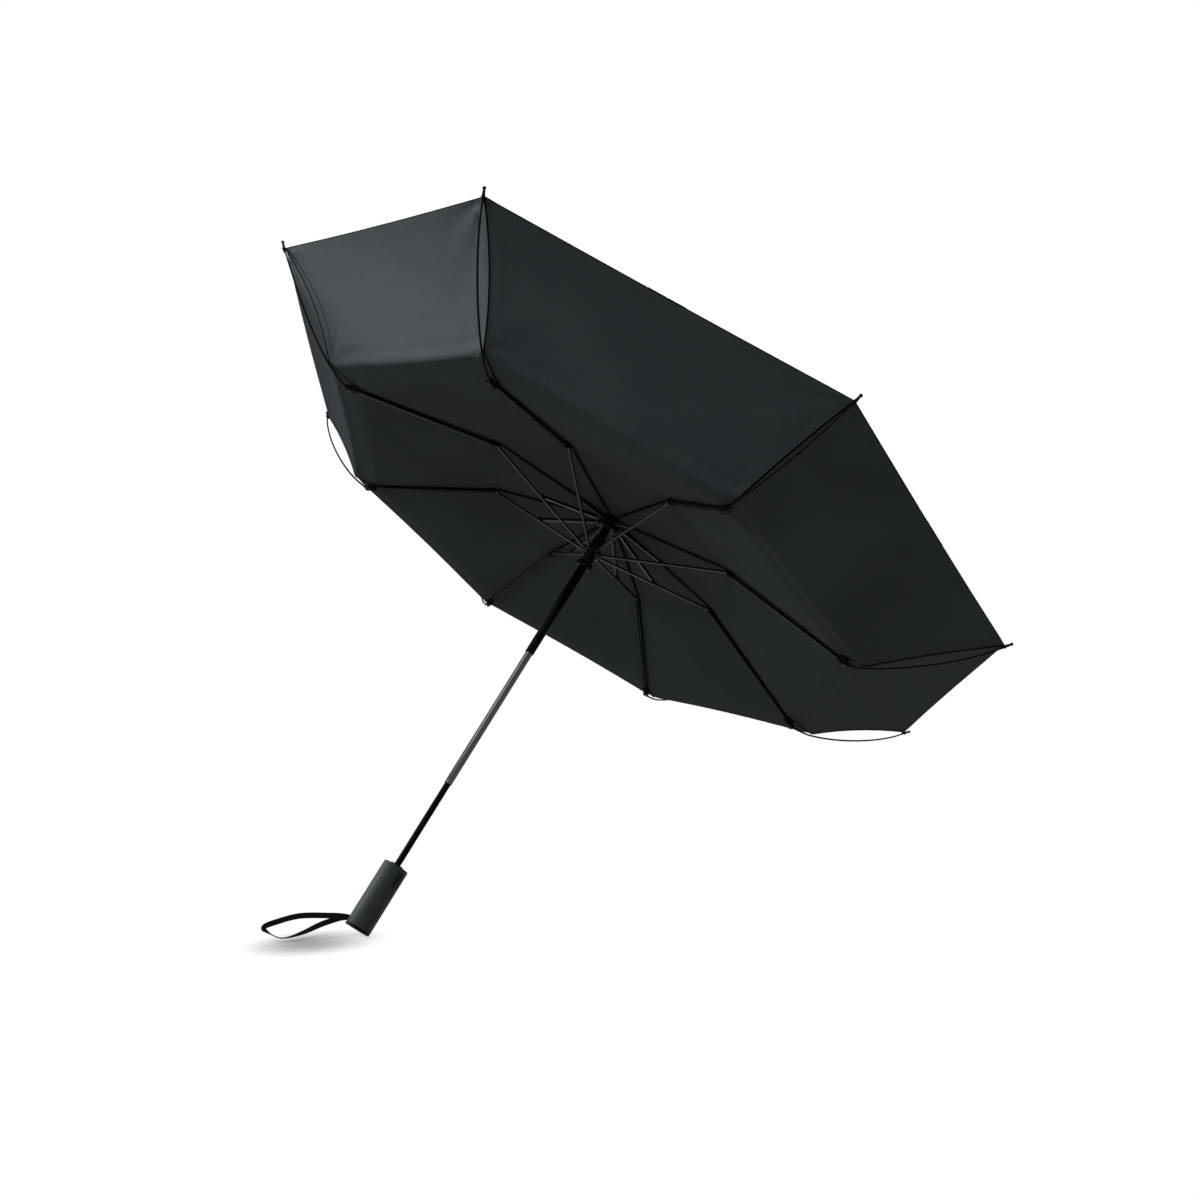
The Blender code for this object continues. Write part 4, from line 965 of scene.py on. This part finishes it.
def make_outer_rods():
    """Tapered fibre rod with a pressed eye, a moulded tip with a bead and a tie."""
    bead_turn = np.linspace(0, math.pi, 9)[1:-1]
    bead = TIP_LENGTH - BEAD_RADIUS * (1 + np.cos(bead_turn)) + BEAD_STEP
    runs = np.concatenate([TIP_RUNS, bead])
    widths = np.concatenate([TIP_RADII, BEAD_RADIUS * np.sin(bead_turn)])
    order = np.argsort(runs)
    eye_turn = full_turn(20)[:, None]
    for rib in RIBS:
        body = f"outer_rib_{rib}"
        _, sideways = rib_axes(rib)
        flip = joint_place(f"{body}_flip")
        shares = np.linspace(ROD_START, 1, 48)
        line = rod_curve(flip, shares, *SLACK_RODS.get(rib, (ROD_ANGLES[1], ROD_HANDLES[1])))
        past_crease = (shares - CREASE_SHARE) / (1 - CREASE_SHARE)
        path = in_plane(rib, line) + wind_pull(rib, shares / CREASE_SHARE, past_crease)
        rod = swept(path, sideways, np.interp(shares, *ROD_RADII), 12)
        end = path[-1]
        tip_way = in_plane(rib, heading(TIP_ANGLE))
        tip = swept(end + runs[order, None] * tip_way, sideways, widths[order], 14)
        loop = (
            end
            - tip_way * TIP_LOOP_BACK
            + TIP_LOOP_RADIUS * np.cos(eye_turn) * sideways
            + TIP_LOOP_RADIUS * np.sin(eye_turn) * np.cross(tip_way, sideways)
        )
        thread = swept(loop, tip_way, TIP_LOOP_THREAD, 6, closed=True)
        piece = new_piece(f"storm_rod_{rib}", rod, ROD_FIBRE, body)
        new_piece(f"rod_tip_{rib}", join_shapes([tip, thread]), TIP, body)
        eye = spun(EYE_PROFILE, 20, in_plane(rib, flip), tuple(sideways), loop=True)
        neck_line = in_plane(rib, flip + NECK_RUNS * heading(ROD_ANGLES[0]))
        neck = swept(neck_line, sideways, NECK_RADII, 12, flat=NECK_FLATNESS)
        new_piece(f"rod_eye_{rib}", join_shapes([eye, neck]), RIB_STEEL, body)
        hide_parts(body)


make_outer_rods()


# Ribs and hubs

RIVET_RADIUS = 0.00125
RIVET_RISE = 0.0005
RIVET_SINK = 0.0004
RIVET_REACH = 0.0026


def dress_ribs():
    """Finish on the rib pieces that keep their CAD form."""
    for rib in RIBS:
        for name in ("top_rib", "stretcher", "link_rod", "mid_rib", "knuckle"):
            node = frame["nodes"][f"{name}_{rib}"]
            for slot in node.material_slots:
                slot.material = KNUCKLE if name == "knuckle" else RIB_STEEL


def node_points(name):
    """All points of a CAD node as an array."""
    mesh = frame["nodes"][name].data
    points = np.empty(len(mesh.vertices) * 3)
    mesh.vertices.foreach_get("co", points)
    return points.reshape(-1, 3)


def rivet_head(centre, way):
    """Low domed head: radius falls as a quarter ellipse from the rim to the pole."""
    turn = np.linspace(0, math.pi / 2, 4)
    dome = np.stack([RIVET_RADIUS * np.cos(turn), RIVET_RISE * np.sin(turn)], axis=1)
    profile = np.concatenate([[(0, -RIVET_SINK), (RIVET_RADIUS, -RIVET_SINK)], dome])
    profile[-1, 0] = 0
    return spun(profile, 12, centre, tuple(way))


def side_reach(names, centre, sideways):
    """How far the named nodes stand out sideways beside a pivot."""
    reach = 0.0
    for name in names:
        points = node_points(name) - centre
        side = points @ sideways
        near = np.linalg.norm(points - side[:, None] * sideways, axis=1) < RIVET_REACH
        if near.any():
            reach = max(reach, float(np.abs(side[near]).max()))
    return reach


def make_rivets():
    """Domed rivet heads on both sides of every pivot of the eight chains."""
    carriers = (
        ("top_rib", ("stretcher_{}_fold", "link_rod_{}_fold"), ("top_rib", "link_rod")),
        ("stretcher", ("mid_rib_{}_fold",), ("stretcher", "mid_rib")),
        ("mid_rib", ("knuckle_{}_fold",), ("mid_rib", "knuckle")),
        ("knuckle", ("outer_rib_{}_flip",), ("knuckle",)),
    )
    for rib in RIBS:
        _, sideways = rib_axes(rib)
        for body, joints, nodes in carriers:
            heads = []
            for joint in joints:
                centre = np.array(JOINT_PLACES[joint.format(rib)]["pos_m"])
                reach = side_reach([f"{node}_{rib}" for node in nodes], centre, sideways)
                for sign in (-1, 1):
                    heads.append(rivet_head(centre + sign * reach * sideways, sign * sideways))
            name = f"{body}_rivets_{rib}"
            new_piece(name, join_shapes(heads), RIVET_STEEL, f"{body}_{rib}")


# Ties along the mid rib: share of its length, half width and thread's radius
TIE_PLACES = (
    (0.024, 0.0029, 0.00080),
    (0.041, 0.0030, 0.00080),
    (0.058, 0.0029, 0.00080),
    (0.36, 0.0025, 0.00050),
    (0.70, 0.0025, 0.00050),
)
TIE_BELOW = 0.0016
KNUCKLE_TIE_DROP, KNUCKLE_TIE_HALF_WIDTH, KNUCKLE_TIE_THREAD = 0.0026, 0.0036, 0.00090
# Ties on the knuckle: step along it and half height
KNUCKLE_TIES = ((0.0002, 0.0036), (0.0032, 0.0041), (0.0064, 0.0042), (0.0096, 0.0038))


def thread_loop(rib, way, centre, half_width, half_height, thickness):
    """Closed oval of thread round a rib, square to the way it runs in the rib's plane."""
    across = np.array((-way[1], way[0]))
    turn = full_turn(18)
    places = centre + half_height * np.sin(turn)[:, None] * across
    path = in_plane(rib, places, half_width * np.cos(turn))
    return swept(path, in_plane(rib, way), thickness, 6, closed=True)


def make_ties():
    """Thread loops that hold the seam to the mid rib, the elbow and the knuckle."""
    for rib in RIBS:
        elbow = joint_place(f"mid_rib_{rib}_fold")
        knuckle = joint_place(f"knuckle_{rib}_fold")
        flip = joint_place(f"outer_rib_{rib}_flip")
        way = unit(knuckle - elbow)
        loops = []
        for share, wide, thick in TIE_PLACES:
            place = elbow + (knuckle - elbow) * share
            cloth_z = float(line_at(TIGHT_LINE, np.interp(place[0], TIGHT_LINE[:, 0], RUN))[1])
            half_height = (cloth_z - place[1] + TIE_BELOW) / 2
            centre = place + np.array((0, half_height - TIE_BELOW))
            loops.append(thread_loop(rib, way, centre, wide, half_height, thick))
        new_piece(f"rib_ties_{rib}", join_shapes(loops), THREAD, f"mid_rib_{rib}")
        way = unit(flip - knuckle)
        loops = []
        for step, tall in KNUCKLE_TIES:
            centre = knuckle + way * step + np.array((0, tall - KNUCKLE_TIE_DROP))
            size = (KNUCKLE_TIE_HALF_WIDTH, tall, KNUCKLE_TIE_THREAD)
            loops.append(thread_loop(rib, way, centre, *size))
        name = f"knuckle_ties_{rib}"
        new_piece(name, join_shapes(loops), THREAD, f"knuckle_{rib}")


dress_ribs()
make_rivets()
make_ties()
merged_copy("runner", "runner_body", HUB, 0.00025, "runner")
merged_copy("crown", "crown_body", HUB, 0.00025, "top_shaft")


# Shaft and handle

TUBE_WALL = 0.0005
MOUTH_ROLL, MOUTH_EASE = 0.0003, 0.0002
CRIMP_DEPTH = 0.00018
CRIMP_HEIGHTS = (0.0030, 0.0034, 0.0040, 0.0044)


def make_tube(name, node, body, finish):
    """Drawn tube with a rolled mouth and a crimped ring near its lower end."""
    low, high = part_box(node)
    outer = (high[0] - low[0]) / 2
    inner = outer - TUBE_WALL
    bottom, top = low[2], high[2]
    middle = (bottom + top) / 2
    crimp = [bottom + height for height in CRIMP_HEIGHTS]
    profile = [
        (inner, bottom + MOUTH_ROLL), (inner + MOUTH_EASE, bottom),
        (outer - MOUTH_EASE, bottom), (outer, bottom + MOUTH_ROLL),
        (outer, crimp[0]), (outer - CRIMP_DEPTH, crimp[1]),
        (outer - CRIMP_DEPTH, crimp[2]), (outer, crimp[3]),
        (outer, middle), (outer, top), (inner, top), (inner, middle),
    ]
    piece = new_piece(name, spun(profile, 48, loop=True), finish, body)
    piece.data.set_sharp_from_angle(angle=math.radians(38))
    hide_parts(node)


make_tube("lower_shaft_tube", "lower_tube", "handle", BLACK_TUBE)
make_tube("middle_shaft_tube", "middle_tube", "middle_shaft", GREY_TUBE)
make_tube("upper_shaft_tube", "top_tube", "top_shaft", BLACK_TUBE)
merged_copy("grip", "handle_body", HANDLE, 0.00035, "handle")
merged_copy("end_cap", "handle_end_cap", CAP, 0.00030, "handle")
merged_copy("handle_collar", "shaft_collar", CAP, 0.00025, "handle")
merged_copy("push_button", "button_cap", BUTTON, 0.00040, "button")
merged_copy("top_cap", "canopy_cap", CAP, 0.00030, "top_shaft")


# Wrist strap

STRAP_WIDTH = 0.0060
STRAP_THICKNESS = 0.0011
STRAP_GAP = 0.0003
STRAP_ROOT = 0.0118
STRAP_ROOT_HEIGHT = 0.0080
STRAP_REACH = 0.0740
STRAP_DROP = 0.0575
# Route of the loop's centre line, out and back, as shares of its reach and drop
STRAP_ROUTE = np.array(
    [
        (0.0, 0.022), (0.045, 0.026), (0.125, 0.064), (0.27, 0.158), (0.648, 0.446),
        (0.900, 0.768), (0.998, 0.938), (0.935, 0.972), (0.757, 0.964), (0.630, 0.880),
        (0.472, 0.656), (0.320, 0.380), (0.20, 0.200), (0.125, 0.100), (0.045, 0.030),
        (0.0, 0.022),
    ]
)
STRAP_POINTS = 181
STRAP_TURNS = ((0.44, 0.56), (0.56, 0.88))


def smooth_route(places, count):
    """Even points on the curve through the places (Catmull-Rom), and the run of each."""
    ends = np.concatenate([places[:1], places, places[-1:]])
    s = np.linspace(0, 1, 24, endpoint=False)[:, None]
    parts = []
    for p0, p1, p2, p3 in zip(ends, ends[1:], ends[2:], ends[3:]):
        bend = (2 * p0 - 5 * p1 + 4 * p2 - p3) * s**2 + (3 * p1 - p0 - 3 * p2 + p3) * s**3
        parts.append((2 * p1 + (p2 - p0) * s + bend) / 2)
    dense = np.concatenate(parts + [places[-1:]])
    stops = lengths_along(dense)
    even = np.linspace(0, stops[-1], count)
    return walked(dense, stops, even), even


def make_strap():
    """Webbing loop: a flat rounded section carried along its route, turned half over.

    The section is a rounded rectangle. Its width turns a quarter before the far end and
    another on the way back, so that the band shows its edge where it turns round.
    """
    count = STRAP_POINTS
    root = np.array((STRAP_ROOT, STRAP_ROOT_HEIGHT))
    places, runs = smooth_route(root + STRAP_ROUTE * (STRAP_REACH, -STRAP_DROP), count)
    share = np.linspace(0, 1, count)
    way = unit(np.gradient(places, axis=0))
    twist = sum(eased(share, start, end) for start, end in STRAP_TURNS) * math.pi / 2
    apart = (STRAP_THICKNESS + STRAP_GAP) / 2
    centre = np.stack([-places[:, 0], apart * np.cos(math.pi * share), places[:, 1]], axis=1)
    forward = np.stack([-way[:, 0], np.zeros(count), way[:, 1]], axis=1)
    across = np.stack([way[:, 1], np.zeros(count), way[:, 0]], axis=1)
    width = across * np.cos(twist)[:, None]
    width[:, 1] += np.sin(twist)
    thick = np.cross(forward, width)
    nose = STRAP_THICKNESS / 2
    arm = STRAP_WIDTH / 2 - nose
    turn = (np.arange(4)[:, None] * math.pi / 2 + np.linspace(0, math.pi / 2, 4)).ravel()
    wide = np.repeat([1, -1, -1, 1], 4) * arm + nose * np.cos(turn)
    tall = nose * np.sin(turn)
    flat_wide = np.linspace(arm, -arm, 6)[1:-1]
    flat_tall = np.full(4, nose)
    wide = np.concatenate([wide[:4], flat_wide, wide[4:12], -flat_wide, wide[12:]])
    tall = np.concatenate([tall[:4], flat_tall, tall[4:12], -flat_tall, tall[12:]])
    points = (
        centre[:, None, :]
        + wide[None, :, None] * width[:, None, :]
        + tall[None, :, None] * thick[:, None, :]
    )
    rings = len(wide)
    faces = grid_faces(count, rings, ring=True).tolist()
    faces.append(list(range(rings - 1, -1, -1)))
    faces.append(list(range((count - 1) * rings, count * rings)))
    piece = new_piece("wrist_loop", (points, faces), WEBBING, "strap")
    around = lengths_along(np.stack([wide, tall], axis=1))
    set_uv(piece.data, "band", np.stack([np.tile(around, count), np.repeat(runs, rings)], axis=1))
    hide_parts("wrist_strap")


make_strap()


# Camera and light

CAMERA_RIGHT = Vector((0.86772917, -0.08693669, 0.48937521))
CAMERA_DOWN = Vector((0.48708335, 0.34479352, -0.80241339))
CAMERA_FORWARD = Vector((-0.09897423, 0.93464402, 0.34153281))
CAMERA_PLACE = Vector((0.18352829, -1.37255672, -0.04285214))
FOCAL_PIXELS = 1242.241
IMAGE_PIXELS = 1200
# Floor disc: its grey ellipse is a painted soft shadow under the handle and strap
FLOOR_CENTRE = np.array((-0.0295, -0.0080, -0.0328))
FLOOR_HALF_LENGTH = 0.080
FLOOR_HALF_DEPTH = 0.034
FLOOR_LEAN = 0.16
FLOOR_ROLL = 0.07


def make_camera():
    """Camera at the photograph's angle, rolled as the umbrella leans in it."""
    data = bpy.data.cameras.new("camera")
    data.sensor_width = 36.0
    data.lens = FOCAL_PIXELS / IMAGE_PIXELS * data.sensor_width
    data.clip_start = 0.05
    camera = add_object("camera", data)
    axes = Matrix((CAMERA_RIGHT, -CAMERA_DOWN, -CAMERA_FORWARD)).transposed()
    camera.matrix_world = Matrix.Translation(CAMERA_PLACE) @ axes.to_4x4()
    bpy.context.scene.camera = camera


def make_lamp(name, kind, target, way, distance, **settings):
    """Lamp of one kind that faces its target from a distance along a way."""
    target = Vector(target)
    data = bpy.data.lights.new(name, kind)
    for label, value in settings.items():
        setattr(data, label, value)
    lamp = add_object(name, data)
    lamp.location = target + Vector(way).normalized() * distance
    lamp.rotation_euler = (target - lamp.location).to_track_quat("-Z", "Y").to_euler()


def make_lamps():
    """A soft key, and narrow lamps on one canopy panel and on the handle's left side."""
    key = {"shape": "DISK", "size": 1.4, "energy": 30.0}
    make_lamp("key_left", "AREA", (0.0, 0.0, 0.42), (-0.78, -0.60, 0.10), 2.2, **key)
    for name, target, way, half_angle, power in (
        ("snoot_left", (-0.30, -0.325, 0.59), (-0.98, 0.10, 0.02), 7.6, 215.0),
        ("snoot_handle", (0.0, 0.0, 0.040), (-0.96, 0.02, 0.10), 2.6, 110.0),
    ):
        narrow = {"spot_size": math.radians(2 * half_angle), "spot_blend": 0.5}
        make_lamp(name, "SPOT", target, way, 1.5, energy=power, shadow_soft_size=0.04, **narrow)


def make_world():
    """White background for the camera and for reflections, soft grey fill for the rest."""
    world = bpy.data.worlds.new("studio")
    bpy.context.scene.world = world
    world.use_nodes = True
    tree = world.node_tree
    tree.nodes.clear()
    rays = add_node(tree, "LightPath").outputs
    seen = math_node(tree, "MAXIMUM", rays["Is Camera Ray"], rays["Is Glossy Ray"])
    seen = math_node(tree, "MAXIMUM", seen, rays["Is Transmission Ray"])
    fill, white = (
        add_node(tree, "Background", {"Color": (1, 1, 1, 1), "Strength": strength}).outputs[0]
        for strength in (0.33, 1.0)
    )
    mix = add_node(tree, "MixShader", {0: seen, 1: fill, 2: white})
    add_node(tree, "OutputWorld", {0: mix.outputs[0]})


def make_floor():
    """Small grey floor disc level in the photograph, under the strap and the handle's end.

    An ellipse of rings whose solidity falls from nearly one to nought towards the rim; its grey
    against the white background is a painted soft shadow, and the strap and handle cast their
    real shadows on it too.
    """
    up = -CAMERA_DOWN * math.cos(FLOOR_LEAN) - CAMERA_FORWARD * math.sin(FLOOR_LEAN)
    up.normalize()
    right = (CAMERA_RIGHT - up * CAMERA_RIGHT.dot(up)).normalized()
    right = (right * math.cos(FLOOR_ROLL) + up * math.sin(FLOOR_ROLL)).normalized()
    deep = up.cross(right).normalized()
    turn = full_turn(64)[None, :, None]
    reach = np.linspace(0, 1, 17)[1:]
    ring = (
        FLOOR_HALF_LENGTH * np.cos(turn) * np.array(right)
        + FLOOR_HALF_DEPTH * np.sin(turn) * np.array(deep)
    )
    points = FLOOR_CENTRE + reach[:, None, None] * ring
    count = turn.size
    faces = grid_faces(len(reach), count, ring=True).tolist()
    points = np.concatenate([points.reshape(-1, 3), FLOOR_CENTRE[None, :]])
    last = len(points) - 1
    faces += [(last, (k + 1) % count, k) for k in range(count)]
    floor = new_piece("floor", (points, faces), floor_finish())
    solid = np.concatenate([np.repeat((1 - reach**2) ** 1.5, count), [1.0]])
    set_values(floor.data, "solid_share", solid)


make_camera()
make_lamps()
make_world()
make_floor()
bpy.context.scene.view_settings.view_transform = "Standard"
